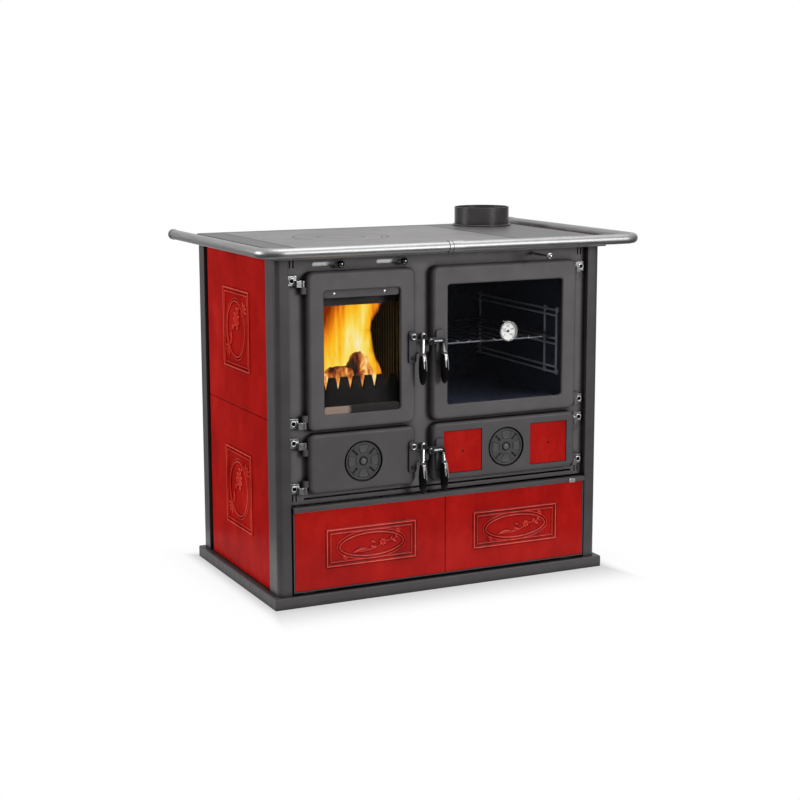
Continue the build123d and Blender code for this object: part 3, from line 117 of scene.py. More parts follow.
class Nodes:
    """Short calls for the nodes of one tree."""

    def __init__(self, tree):
        self.tree = tree

    def node(self, kind, **parts):
        return self.fit(self.tree.nodes.new(kind), **parts)

    def fit(self, made, **parts):
        """Set a node's settings, and its sockets, whose names start with a capital."""
        for key, value in parts.items():
            if key[0].islower():
                setattr(made, key, value)
            else:
                self.feed(made.inputs[key.replace("_", " ")], value)
        return made

    def feed(self, socket, value):
        if isinstance(value, bpy.types.NodeSocket):
            self.tree.links.new(value, socket)
        else:
            socket.default_value = value

    def math(self, operation, *values):
        made = self.node("ShaderNodeMath", operation=operation)
        for socket, value in zip(made.inputs, values):
            self.feed(socket, value)
        return made.outputs["Value"]

    def levels(self, value, low, high, out_low, out_high, curve="LINEAR"):
        """A value between low and high, carried over to another range."""
        return self.node(
            "ShaderNodeMapRange", interpolation_type=curve, Value=value,
            From_Min=low, From_Max=high, To_Min=out_low, To_Max=out_high,
        ).outputs["Result"]

    def most(self, first, *others):
        """The largest of some values."""
        for other in others:
            first = self.math("MAXIMUM", first, other)
        return first

    def axes(self, vector):
        return self.node("ShaderNodeSeparateXYZ", Vector=vector).outputs


class Shader(Nodes):
    """A principled material with short calls for its texture nodes."""

    def __init__(self, name, colour, roughness, metallic=0.0, **sockets):
        self.material = bpy.data.materials.new(name)
        self.material.use_nodes = True
        super().__init__(self.material.node_tree)
        self.bsdf = self.tree.nodes["Principled BSDF"]
        self.finish(Base_Color=(*colour, 1.0), Roughness=roughness, Metallic=metallic, **sockets)

    def finish(self, **sockets):
        """Set or link the principled shader's own sockets."""
        self.fit(self.bsdf, **sockets)

    def place(self, stretch=(1.0, 1.0, 1.0)):
        """Object coordinates, scaled along each axis."""
        coords = self.node("ShaderNodeTexCoord").outputs["Object"]
        return self.node("ShaderNodeMapping", Vector=coords, Scale=stretch).outputs["Vector"]

    def noise(self, scale, detail=4.0, stretch=(1.0, 1.0, 1.0), roughness=0.55):
        return self.node(
            "ShaderNodeTexNoise", Scale=scale, Detail=detail, Roughness=roughness,
            Vector=self.place(stretch),
        ).outputs["Fac"]

    def attribute(self, name):
        return self.node("ShaderNodeAttribute", attribute_name=name).outputs["Fac"]

    def ramp(self, value, stops):
        made = self.node("ShaderNodeValToRGB", Fac=value)
        ramp = made.color_ramp
        ramp.elements[0].position = stops[0][0]
        ramp.elements[1].position = stops[-1][0]
        for at, _ in stops[1:-1]:
            ramp.elements.new(at)
        for element, (_, colour) in zip(ramp.elements, stops):
            element.color = (*colour, 1.0)
        return made.outputs["Color"]

    def tones(self, value, dark, light):
        """From one colour to another over the spread of a noise."""
        return self.ramp(value, list(zip(NOISE_SPREAD, (dark, light))))

    def colour(self, out):
        self.finish(Base_Color=out)

    def rough(self, value, low, high):
        self.finish(Roughness=self.levels(value, *NOISE_SPREAD, low, high))

    def bevel(self, radius):
        """Edges that catch the light as if slightly rounded."""
        self.finish(Normal=self.node("ShaderNodeBevel", samples=4, Radius=radius).outputs["Normal"])

    def multiply(self, colour, share):
        return self.node(
            "ShaderNodeMixRGB", blend_type="MULTIPLY", Fac=1.0, Color1=colour, Color2=share
        ).outputs["Color"]

    def painted_crevice_shade(self, colour, reach, darkest, clear=0.95):
        """Darken a colour where other faces stand close: painted shade in creases, gaps and corners."""
        open_sky = self.node("ShaderNodeAmbientOcclusion", samples=6, Distance=reach).outputs["AO"]
        return self.multiply(colour, self.levels(open_sky, 0.35, clear, darkest, 1.0))

    def bump(self, value, strength, depth):
        made = self.node("ShaderNodeBump", Strength=strength, Distance=depth, Height=value)
        earlier = self.bsdf.inputs["Normal"].links
        if earlier:
            self.fit(made, Normal=earlier[0].from_socket)
        self.finish(Normal=made.outputs["Normal"])

    def blend(self, share, first, second):
        """Show a mix of two shaders."""
        mix = self.node("ShaderNodeMixShader", Fac=share)
        self.feed(mix.inputs[1], first.outputs[0])
        self.feed(mix.inputs[2], second.outputs[0])
        self.fit(self.tree.nodes["Material Output"], Surface=mix.outputs["Shader"])


def grey(value, warm=0.0):
    return (value * (1 + warm), value * (1 - warm), value * (1 + warm / 3))


def cast_iron(name, dark, light, rough_low, rough_high, grain=0.25, specular=0.3):
    """Painted or bare casting: a sandy skin with slow shifts of tone, and painted shade where other faces
    stand close.
    """
    shader = Shader(name, grey(light), rough_high, Specular_IOR_Level=specular)
    tone = shader.tones(shader.noise(14.0, 5.0), grey(dark, PAINT_TINT), grey(light, PAINT_TINT))
    shader.colour(shader.painted_crevice_shade(tone, IRON_SHADE_REACH, IRON_SHADE_DARK))
    shader.rough(shader.noise(45.0, 3.0), rough_low, rough_high)
    shader.bevel(PAINT_EDGE)
    shader.bump(shader.noise(GRAIN_SCALE, 3.0), grain, GRAIN_DEPTH)
    return shader.material


def cast_relief(name, base):
    """Painted casting with a relief: painted shade in its grooves and painted highlight on its ridges."""
    shader = Shader(name, grey(base), 0.5, Specular_IOR_Level=0.3)
    stain = shader.levels(shader.noise(60.0, 4.0), *NOISE_SPREAD, -0.06, 0.06)
    # Painted shade and painted highlight from the relief attribute, with random stains
    shader.colour(shader.ramp(shader.math("ADD", shader.attribute("thin"), stain), [
        (0.05, grey(base * 0.1)), (0.35, grey(base * 0.7)), (0.55, grey(base)), (0.95, grey(base * 1.5))
    ]))
    shader.bump(shader.noise(GRAIN_SCALE, 3.0), 0.25, GRAIN_DEPTH)
    return shader.material


def brushed(name, base, rough_low, rough_high, stretch):
    """Metal with fine lines along its length, and painted shade where other faces stand close."""
    shader = Shader(name, grey(base), rough_low, 1.0)
    lines = shader.noise(300.0, 4.0, stretch)
    tone = shader.ramp(lines, [(0.25, grey(base * 0.82)), (0.75, grey(base * 1.08))])
    shader.colour(shader.painted_crevice_shade(tone, STEEL_SHADE_REACH, METAL_SHADE_DARK, STEEL_SHADE_CLEAR))
    shader.rough(lines, rough_low, rough_high)
    shader.bump(lines, 0.05, 0.2 * MM)
    return shader.material


def glaze(name, specular):
    """Mottled red glaze, lighter where it thins on the relief and darker where it pools, which is also
    painted highlight on crests and painted shade beside ridges.
    """
    shader = Shader(name, (0.36, 0.008, 0.005), 0.22, Specular_IOR_Level=specular)
    clouds = shader.math("MULTIPLY_ADD", shader.noise(13.0, 6.0, (1.0, 1.0, 0.6), 0.6), 0.6, 0.05)
    mottle = shader.math("MULTIPLY_ADD", shader.noise(120.0, 3.0), 0.12, clouds)
    # The relief attribute is partly glaze thinning and pooling, partly painted highlight and painted
    # shade
    shader.colour(shader.ramp(shader.math("MULTIPLY_ADD", shader.attribute("thin"), 0.45, mottle), [
        (0.12, (0.08, 0.002, 0.001)),
        (0.3, (0.26, 0.004, 0.003)),
        (0.45, (0.35, 0.007, 0.005)),
        (0.62, (0.44, 0.016, 0.01)),
        (0.88, (0.72, 0.11, 0.075)),
    ]))
    shader.bump(shader.noise(38.0, 2.0), 0.1, 1.0 * MM)
    return shader.material


def plain(name, colour, roughness, metallic=0.0, mottle=0.12, scale=60.0, edge=0.0, near=0.0, **sockets):
    """A finish of one colour with slight shifts of tone and gloss, and painted shade near other faces
    when near is given.
    """
    shader = Shader(name, colour, roughness, metallic, **sockets)
    darker = tuple(c * (1 - mottle) for c in colour)
    lighter = tuple(min(c * (1 + mottle), 1.0) for c in colour)
    shade = shader.tones(shader.noise(scale, 4.0), darker, lighter)
    shader.colour(shader.painted_crevice_shade(shade, near * MM, METAL_SHADE_DARK) if near else shade)
    shader.rough(shader.noise(scale * 2.3, 3.0), roughness * 0.85, roughness * 1.2)
    if edge:
        shader.bevel(edge * MM)
    return shader.material


def hob_iron(name, base, plate=None, rings=()):
    """Ground cast iron: fine lines, faint stains, and painted shade along the seams of a plate or rings.
    """
    shader = Shader(name, grey(base), 0.45, 0.35, Specular_IOR_Level=0.3)
    lines = shader.noise(420.0, 4.0, (0.06, 1.0, 1.0))
    stain = shader.noise(9.0, 5.0)
    both = shader.math("MULTIPLY_ADD", lines, 0.55, shader.math("MULTIPLY", stain, 0.45))
    tone = shader.ramp(both, [
        (0.35, grey(base * 0.5, 0.02)), (0.5, grey(base, 0.02)), (0.66, grey(base * 1.35, 0.02))
    ])
    axes = shader.axes(shader.place())

    def from_middle(box):
        """Distances from a box's middle, across and along the hob."""
        return [shader.math("SUBTRACT", axes[k], (box[0][k] + box[1][k]) / 2) for k in (0, 1)]

    # Painted shade in a band just outside the plate's edges
    if plate:
        past = [
            shader.math("SUBTRACT", shader.math("ABSOLUTE", part), (plate[1][k] - plate[0][k]) / 2)
            for k, part in enumerate(from_middle(plate))
        ]
        unshaded = shader.levels(shader.most(*past), SEAM_START, SEAM_END, SEAM_DARK, 1.0)
        tone = shader.multiply(tone, unshaded)
    # Painted shade on both sides of each ring's edge
    for ring in rings:
        squares = (shader.math("MULTIPLY", part, part) for part in from_middle(ring))
        reach = shader.math("SQRT", shader.math("ADD", *squares))
        past = shader.math("SUBTRACT", reach, (ring[1][0] - ring[0][0]) / 2)
        unshaded = shader.levels(shader.math("ABSOLUTE", past), RING_START, RING_END, RING_DARK, 1.0)
        tone = shader.multiply(tone, unshaded)
    shader.colour(tone)
    shader.rough(both, 0.4, 0.58)
    shader.bevel(1.0 * MM)
    shader.bump(lines, 0.1, 0.3 * MM)
    return shader.material


def pane(name, tint):
    """Flat glass with a faint haze, which lets light through."""
    shader = Shader(name, tint, PANE_ROUGH, Transmission_Weight=1.0, IOR=PANE_IOR)
    shader.rough(shader.noise(25.0, 4.0), PANE_ROUGH * 0.5, PANE_ROUGH * 2.0)
    clear = shader.node("ShaderNodeBsdfTransparent", Color=(*tint, 1.0))
    shader.blend(shader.node("ShaderNodeLightPath").outputs["Is Shadow Ray"], shader.bsdf, clear)
    return shader.material


def strip_steel(name, split, width):
    """Glass strip steel: bright and heat-tinted at one end, sooted at the other."""
    shader = Shader(name, grey(0.05), 0.4, 0.5)
    along = shader.levels(shader.axes(shader.place())["X"], split - width, split + width, 0.0, 1.0)
    soot = shader.math("MULTIPLY_ADD", shader.noise(70.0, 4.0), 0.3, along)
    shader.colour(shader.ramp(soot, [(0.35, (0.27, 0.19, 0.155)), (0.75, (0.008, 0.006, 0.005))]))
    return shader.material


def flame_shader(name):
    """Gas in tall streaks: a pale core, orange round it, and a ragged free edge."""
    shader = Shader(name, (0.0, 0.0, 0.0), 1.0)
    place = shader.place((1.0, 1.0, 0.16))
    warp = shader.node("ShaderNodeTexNoise", Scale=14.0, Vector=place).outputs["Color"]
    bend = shader.node("ShaderNodeMixRGB", blend_type="ADD", Fac=0.035, Color1=place, Color2=warp)
    streak = shader.node("ShaderNodeTexNoise", Scale=42.0, Detail=5.0, Vector=bend.outputs["Color"])
    streaks = shader.levels(streak.outputs["Fac"], *NOISE_SPREAD, -1.0, 1.0)
    heat = shader.math("MULTIPLY_ADD", streaks, 0.2, shader.attribute("warmth"))
    colour = shader.ramp(heat, [
        (0.08, (0.2, 0.02, 0.0)),
        (0.24, (0.62, 0.13, 0.003)),
        (0.4, (1.0, 0.36, 0.012)),
        (0.56, (1.0, 0.56, 0.02)),
        (0.74, (1.0, 0.77, 0.13)),
        (0.95, (1.0, 0.93, 0.68)),
    ])
    path = shader.node("ShaderNodeLightPath").outputs
    seen = shader.most(path["Is Camera Ray"], path["Is Transmission Ray"])
    strength = shader.levels(seen, 0.0, 1.0, FLAME_LIGHT, 1.0)
    glow = shader.node("ShaderNodeEmission", Color=colour, Strength=strength)
    body = shader.math("MULTIPLY_ADD", streaks, 0.45, shader.attribute("body"))
    clear = shader.node("ShaderNodeBsdfTransparent")
    shader.blend(shader.levels(body, 0.2, 0.7, 0.0, 1.0), clear, glow)
    return shader.material


def ember_shader(name):
    """Charred, checked wood that glows where the warmth attribute says."""
    shader = Shader(name, (0.02, 0.014, 0.011), 0.85, Specular_IOR_Level=0.1)
    cells = shader.node("ShaderNodeTexVoronoi", feature="DISTANCE_TO_EDGE", Scale=46.0)
    crack = shader.fit(cells, Vector=shader.place((1.0, 1.0, 0.5))).outputs["Distance"]
    grain = shader.noise(70.0, 6.0, (1.0, 1.0, 0.3))
    shader.colour(shader.tones(grain, (0.008, 0.005, 0.004), (0.05, 0.02, 0.012)))
    spread = shader.levels(grain, *NOISE_SPREAD, -0.35, 0.35)
    lit = shader.math("ADD", shader.attribute("warmth"), spread)
    lit = shader.math("ADD", lit, shader.levels(crack, 0.0, 0.12, 0.16, 0.0))
    glow = shader.ramp(lit, [
        (0.2, (0.0, 0.0, 0.0)),
        (0.42, (0.16, 0.02, 0.003)),
        (0.62, (0.5, 0.13, 0.015)),
        (0.85, (0.9, 0.4, 0.08)),
        (1.0, (1.0, 0.72, 0.3)),
    ])
    shader.finish(Emission_Color=glow, Emission_Strength=1.0)
    shader.bump(crack, 0.6, 3.0 * MM)
    return shader.material


# Shared mesh helpers
# Distance of points that count as one, and angle in degrees of edges that stay sharp
SAME_POINT = 0.01 * MM
SMOOTH_LIMIT = 32.0


def add_mesh(name, verts, faces, material, body, smooth=True):
    mesh = bpy.data.meshes.new(name)
    mesh.from_pydata([tuple(v) for v in verts], [], [tuple(f) for f in faces])
    mesh.validate()
    mesh.materials.append(material)
    made = bmesh.new()
    made.from_mesh(mesh)
    bmesh.ops.recalc_face_normals(made, faces=made.faces)
    made.to_mesh(mesh)
    made.free()
    if smooth:
        mesh.polygons.foreach_set("use_smooth", [True] * len(mesh.polygons))
    obj = bpy.data.objects.new(name, mesh)
    scene.collection.objects.link(obj)
    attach(obj, body)
    return obj


def set_attribute(obj, name, values):
    layer = obj.data.attributes.new(name, "FLOAT", "POINT")
    layer.data.foreach_set("value", np.asarray(values, np.float32))


def grid_faces(wide, tall, first=0):
    """Faces of a grid of points that is numbered row by row."""
    return [
        (a, a + 1, a + wide + 1, a + wide)
        for row in range(tall - 1) for a in range(first + row * wide, first + (row + 1) * wide - 1)
    ]


def grid_rim(wide, tall):
    """Numbers of a grid's border points, in order."""
    grid = np.arange(wide * tall).reshape(tall, wide)
    return np.r_[grid[0, :-1], grid[:-1, -1], grid[-1, :0:-1], grid[:0:-1, 0]].tolist()


def sheet_faces(wide, tall):
    """Faces of a thin closed sheet: a grid of front points, then the same grid behind it."""
    sheet = wide * tall
    rim = grid_rim(wide, tall)
    edge = zip(rim, rim[1:] + rim[:1])
    sides = [(here, after, after + sheet, here + sheet) for here, after in edge]
    return grid_faces(wide, tall) + grid_faces(wide, tall, sheet) + sides


def band_faces(rings, sides, joined=False):
    """Faces between rings of points, joined into a loop or closed by a face at each end."""
    faces = []
    for ring in range(rings if joined else rings - 1):
        here, there = ring * sides, (ring + 1) % rings * sides
        for side in range(sides):
            after = (side + 1) % sides
            faces.append((here + side, here + after, there + after, there + side))
    if not joined:
        faces.append(tuple(range(sides)))
        faces.append(tuple((rings - 1) * sides + side for side in range(sides)))
    return faces


def read(items, name, width=1, kind=np.float32):
    """One property of all of a mesh's points, corners or faces."""
    values = np.zeros(len(items) * width, kind)
    items.foreach_get(name, values)
    return values.reshape(-1, width) if width > 1 else values


def smooth_node(node):
    """Round shading on a solid's curved faces, with its sharp edges kept."""
    mesh = nodes[node].data
    count = len(mesh.loops)
    normals = read(mesh.polygons, "normal", 3)
    areas = read(mesh.polygons, "area")
    sides = read(mesh.polygons, "loop_total", 1, np.int32)
    face = np.repeat(np.arange(len(sides)), sides)
    keys = np.round(read(mesh.vertices, "co", 3) / SAME_POINT).astype(np.int64)
    _, group = np.unique(keys, axis=0, return_inverse=True)
    group = group.ravel()[read(mesh.loops, "vertex_index", 1, np.int32)]
    order = np.argsort(group, kind="stable")
    starts = np.flatnonzero(np.r_[True, np.diff(group[order]) > 0])
    ends = np.r_[starts[1:], count]
    result = np.zeros((count, 3), np.float32)
    least = math.cos(math.radians(SMOOTH_LIMIT))
    for start, end in zip(starts, ends):
        loops = order[start:end]
        own = normals[face[loops]]
        near = (own @ own.T) > least
        blended = (near * areas[face[loops]][None, :]) @ own
        length = np.linalg.norm(blended, axis=1, keepdims=True)
        result[loops] = np.where(length > 1e-12, blended / np.maximum(length, 1e-12), own)
    mesh.polygons.foreach_set("use_smooth", [True] * len(mesh.polygons))
    mesh.normals_split_custom_set([tuple(n) for n in result])


# Relief tiles, with all lengths of the relief in millimetres
# Height of leaves, number of petals, and the oval's share of the tile's half size
LEAF_HIGH = 2.8
PETALS = 7
OVAL_SHARE = 0.77
OVAL_FIELD = 9.0
# Leaves of the spray: base as shares of the field, angle, length and width as shares
SPRAY_LEAVES = (
    (-0.62, -0.66, 10, 0.5, 0.13), (0.16, -0.36, 165, 0.24, 0.1), (0.6, 0.12, 62, 0.16, 0.1),
    (0.66, 0.14, -30, 0.18, 0.12), (0.78, 0.28, 78, 0.15, 0.1), (0.14, 0.1, 160, 0.2, 0.09),
)
LEAF_CURL = 0.06
SPRIG_ANGLES = (-12.0, 22.0, 52.0, 88.0)
# Grid of a tile: distances of its lines from the edge, steps in the relief and outside it
EDGE_LINES = (0.0, 0.25, 0.7, 1.4, 2.4, 4.0)
EDGE_BAND = 8.0
GRID_FINE = 1.1
GRID_COARSE = 14.0
RELIEF_MARGIN = 4.0
TILE_ROUND = 2.2
# Sizes of tiles that the boxes do not give
SIDE_RELIEF = (180.0, 200.0)
SIDE_FACE = 438.0 * MM
SIDE_THICKNESS = 8.0
SIDE_ROWS = (("lower", 29.5 * MM, 448.25 * MM), ("upper", 449.75 * MM, 838.0 * MM))
DRAWER_RELIEF = (240.0, 94.0)
DRAWER_SEAM = 3.0 * MM
DRAWER_SEAM_HALF = 0.5 * MM
DRAWER_FACE = 2.2 * MM
DRAWER_THICKNESS = 8.5


def ridge(distance, at, width, height):
    return height * np.exp(-(((distance - at) / width) ** 2))


def rectangle_distance(a, b, half_a, half_b):
    return np.maximum(np.abs(a) - half_a, np.abs(b) - half_b)


def oval_distance(a, b, semi_a, semi_b):
    k = np.sqrt((a / semi_a) ** 2 + (b / semi_b) ** 2)
    slope = np.sqrt((a / semi_a**2) ** 2 + (b / semi_b**2) ** 2)
    return (k - 1) * k / np.maximum(slope, 1e-9)


def leaf(a, b, base, angle, length, width, curl=0.0):
    """A pointed leaf with a vein, from its base along an angle in degrees."""
    turn = math.radians(angle)
    da, db = a - base[0], b - base[1]
    s = (da * math.cos(turn) + db * math.sin(turn)) / length
    t = -da * math.sin(turn) + db * math.cos(turn)
    inside = np.clip(s, 0.0, 1.0)
    t = t - curl * length * np.sin(math.pi * inside)
    half = width * np.sin(math.pi * inside**0.8) ** 0.9 + 1e-6
    body = np.where((s > 0) & (s < 1), np.clip(1 - (t / half) ** 2, 0, 1) ** 0.6, 0.0)
    vein = 0.4 * np.exp(-((t / 0.7) ** 2)) * (body > 0)
    return LEAF_HIGH * np.maximum(body - vein, 0.0)


def stem(a, b, start, bend, end, width, height):
    """A thin raised line that curves from start to end, pulled towards bend."""
    t = np.linspace(0.0, 1.0, 9)[:, None]
    start, bend, end = (np.array(point) for point in (start, bend, end))
    points = (1 - t) ** 2 * start + 2 * t * (1 - t) * bend + t**2 * end
    far = np.full(a.shape, 1e9)
    for (a0, b0), run in zip(points, np.diff(points, axis=0)):
        along = np.clip(((a - a0) * run[0] + (b - b0) * run[1]) / (run @ run), 0, 1)
        far = np.minimum(far, np.hypot(a - a0 - along * run[0], b - b0 - along * run[1]))
    return ridge(far, 0.0, width, height)


def spray(a, b, half_a, half_b):
    """A traditional flower with stem and leaves on an oval field."""
    if half_b > half_a:
        a, b, half_a, half_b = b, a, half_b, half_a

    def spot(share_a, share_b):
        return share_a * half_a, share_b * half_b

    flower = spot(0.36, 0.06)
    parts = [
        stem(a, b, spot(0.32, -0.12), spot(0.12, -0.62), spot(-0.5, -0.62), 1.2, 1.9),
        stem(a, b, spot(0.42, 0.1), spot(0.62, 0.1), spot(0.86, 0.34), 1.1, 1.7),
        ridge(np.hypot(a - flower[0], b - flower[1]), 0.0, 2.6, 3.0),
    ]
    for petal in range(PETALS):
        parts.append(leaf(a, b, flower, 360 / PETALS * petal + 14, 0.4 * half_b, 0.13 * half_b))
    for at_a, at_b, angle, length, width in SPRAY_LEAVES:
        base = spot(at_a, at_b)
        parts.append(leaf(a, b, base, angle, length * half_a, width * half_b, LEAF_CURL))
    return np.maximum.reduce(parts)


def tile_relief(a, b, width, height):
    """The bevelled frame, the double oval, the spray inside it and two corner sprigs."""
    half_a, half_b = width / 2, height / 2
    edge = rectangle_distance(a, b, half_a, half_b)
    semi_a, semi_b = OVAL_SHARE * half_a, OVAL_SHARE * half_b
    oval = oval_distance(a, b, semi_a, semi_b)
    field = spray(a, b, semi_a - OVAL_FIELD, semi_b - OVAL_FIELD)
    out = np.maximum.reduce([
        ridge(edge, -2.0, 1.7, 3.0), ridge(edge, -11.5, 1.4, 2.4),
        ridge(oval, 0.0, 1.2, 2.2), ridge(oval, -7.5, 1.5, 3.0),
        np.where(oval < -OVAL_FIELD, field, 0.0),
    ])
    dots = 0.7 * np.sin(a * 1.7) * np.sin(b * 1.7 + 0.5 * np.sin(a * 0.4))
    out = np.where((edge < -14.0) & (oval > 2.5), np.maximum(out, dots), out)
    reach = 0.3 * min(semi_a, semi_b)
    for side, turn in ((-1, 180.0), (1, 0.0)):
        root = (side * 0.56 * half_a, side * 0.5 * half_b)
        for angle in SPRIG_ANGLES:
            out = np.maximum(out, leaf(a, b, root, angle + turn, reach * 1.25, reach * 0.22))
    return np.where(edge < 4.0, out, 0.0)


def grid_lines(half, dense):
    """Lines along a tile: close in the relief and at the edges, wide elsewhere."""
    lines = [end for e in EDGE_LINES for end in (e - half, half - e)]
    for start, end, step in (
        (EDGE_BAND - half, -dense, GRID_COARSE), (-dense, dense, GRID_FINE),
        (dense, half - EDGE_BAND, GRID_COARSE),
    ):
        if end > start:
            lines.extend(np.linspace(start, end, max(int((end - start) / step), 1) + 1))
    return np.unique(np.round(lines, 3))


def glaze_thin_and_painted_light(raised):
    """Where the glaze runs thin: on crests, less on wide fields, least beside a ridge; also painted
    highlight on crests and painted shade beside ridges.
    """
    above, below = raised, raised
    for step in (-3, -2, -1, 1, 2, 3):
        for axis in (0, 1):
            beside = np.roll(raised, step, axis)
            above, below = np.maximum(above, beside), np.minimum(below, beside)
    return (
        np.clip(raised / LEAF_HIGH, 0, 1)
        - 0.55 * np.clip((above - raised) / 2.4, 0, 1)
        - 0.6 * np.clip(below / 2.4, 0, 1)
    )


def relief_tile(name, centre, out, size, relief, thickness, material, body, node):
    """One glazed tile: a rounded slab whose face carries the relief."""
    half_a, half_b = size[0] / 2, size[1] / 2
    a, b = np.meshgrid(
        grid_lines(half_a, relief[0] / 2 + RELIEF_MARGIN),
        grid_lines(half_b, relief[1] / 2 + RELIEF_MARGIN),
    )
    raised = tile_relief(a, b, *relief)
    inset = np.minimum(half_a - np.abs(a), half_b - np.abs(b))
    drop = np.clip(TILE_ROUND - inset, 0, TILE_ROUND)
    height = raised - (TILE_ROUND - np.sqrt(np.maximum(TILE_ROUND**2 - drop**2, 0)))
    tall, wide = a.shape
    centre, up, out = (np.array(v, float) for v in (centre, (0, 0, 1), out))
    flat = a.ravel()[:, None] * np.cross(up, out) + b.ravel()[:, None] * up
    rim = grid_rim(wide, tall)
    face = centre + (flat + height.ravel()[:, None] * out) * MM
    back = centre + (flat[rim] - thickness * out) * MM
    behind = range(len(face), len(face) + len(rim))
    faces = grid_faces(wide, tall)
    for k in range(len(rim)):
        after = (k + 1) % len(rim)
        faces.append((rim[after], rim[k], behind[k], behind[after]))
    faces.append(tuple(behind))
    obj = add_mesh(name, np.vstack([face, back]), faces, material, body)
    # The relief attribute is glaze thinning and pooling, and also painted highlight on crests and painted
    # shade beside ridges
    set_attribute(obj, "thin", np.r_[glaze_thin_and_painted_light(raised).ravel(), np.zeros(len(rim))])
    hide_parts(node)


def add_tiles(side_material, drawer_material):
    """Two tiles on each side and two on the drawer's front, split at their seams."""
    low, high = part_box("side_tiles")
    for side, place in ((-1, "left"), (1, "right")):
        for row, z_low, z_high in SIDE_ROWS:
            centre = (side * SIDE_FACE, (low.y + high.y) / 2, (z_low + z_high) / 2)
            size = ((high.y - low.y) / MM, (z_high - z_low) / MM)
            relief_tile(f"side_tile_{place}_{row}", centre, (side, 0, 0), size,
                        SIDE_RELIEF, SIDE_THICKNESS, side_material, "stove", "side_tiles")
    low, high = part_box("drawer_tiles")
    for place, x_low, x_high in (
        ("left", low.x, DRAWER_SEAM - DRAWER_SEAM_HALF), ("right", DRAWER_SEAM + DRAWER_SEAM_HALF, high.x)
    ):
        centre = ((x_low + x_high) / 2, low.y + DRAWER_FACE, (low.z + high.z) / 2)
        size = ((x_high - x_low) / MM, (high.z - low.z) / MM)
        relief_tile("drawer_tile_" + place, centre, FORWARD, size,
                    DRAWER_RELIEF, DRAWER_THICKNESS, drawer_material, "drawer", "drawer_tiles")


# Fire, with lengths in millimetres
# Flame sheets: right edge by height share; place, peak and drop of the heat by height share;
# depth and sideways shift of each sheet
FLAME_BOTTOM = 470.0
FLAME_TOP = 770.0
FLAME_LEFT = -322.0
FLAME_EDGE = (
    (0.0, 0.22, 0.3, 0.45, 0.6, 0.75, 1.0),
    (-140.0, -130.0, -138.0, -158.0, -165.0, -146.0, -108.0),
)
FLAME_HEATS = (
    (0.0, 0.28, 0.5, 0.65, 0.82, 1.0),
    (0.55, 0.68, 0.8, 0.78, 0.74, 0.72),
    (0.58, 0.75, 0.92, 0.78, 0.57, 0.45),
    (0.2, 0.2, 0.66, 0.78, 0.66, 0.5),
)
FLAME_FADE = 0.02
FLAME_SHEETS = ((-122.0, 13.0), (-138.0, 6.0), (-152.0, 0.0))
FLAME_HALF = 1.5
FLAME_WAVE = 9.0
# The low flame in front of the logs
LOW_DEPTH = -183.0
LOW_LEFT = -318.0
LOW_TOP = 515.0
LOW_EDGE = ((0.0, 1.0), (-150.0, -160.0))
LOW_HEATS = ((0.0, 1.0), (0.45, 0.5), (0.84, 0.6), (0.1, 0.3))
LOW_FADE = 1.0
# End outlines of the logs as (x, z) points, their spans from front to back, and their glow
LEFT_LOG = ((-304, 470), (-306, 534), (-273, 566), (-222, 563), (-214, 520), (-218, 470))
LEFT_SPAN = (-172, -60)
LEFT_GLOW = ((500, 545, 566), (0.85, 0.75, 0.3))
RIGHT_LOG = (
    (-236, 470), (-236, 556), (-226, 566), (-219, 582),
    (-197, 600), (-183, 590), (-160, 552), (-144, 470),
)
RIGHT_SPAN = (-168, -50)
RIGHT_GLOW = ((-240, -208, -190, -145), (0.1, 0.25, 0.75, 0.9))
REAR_LOG = ((-300, 424), (-300, 480), (-150, 480), (-150, 424))
REAR_SPAN = (-150, 60)
REAR_GLOW = 0.3
FIRE_SEED = 7


def curtain(name, y, left, edge, top, heats, fade, draw, material):
    """A closed sheet of flame, with its edge and heats given by height share."""
    columns, rows = 26, 30
    bend = draw.uniform(0, 2 * math.pi)
    verts, heat, body = [], [], []
    for side in (-1, 1):
        for row in range(rows + 1):
            t = row / rows
            right = np.interp(t, *edge)
            hot, peak, drop = (np.interp(t, heats[0], row_values) for row_values in heats[1:])
            for column in range(columns + 1):
                s = column / columns
                wave = FLAME_WAVE * math.sin(bend + 5.0 * s + 3.0 * t)
                verts.append((
                    (left + (right - left) * s) * MM, (y + wave + side * FLAME_HALF) * MM,
                    (FLAME_BOTTOM + (top - FLAME_BOTTOM) * t) * MM,
                ))
                fall = drop * max((hot - s) / hot, 0.0)
                fall += 0.2 * max((s - hot) / (1 - hot), 0.0) ** 1.5
                heat.append(peak - fall - 0.35 * max((s - 0.82) / 0.18, 0.0))
                body.append(min(1.0, (1.0 - s) / 0.14 + 0.05) * min(1.0, (1.0 - t) / fade))
    obj = add_mesh(name, verts, sheet_faces(columns + 1, rows + 1), material, "stove")
    set_attribute(obj, "warmth", heat)
    set_attribute(obj, "body", body)


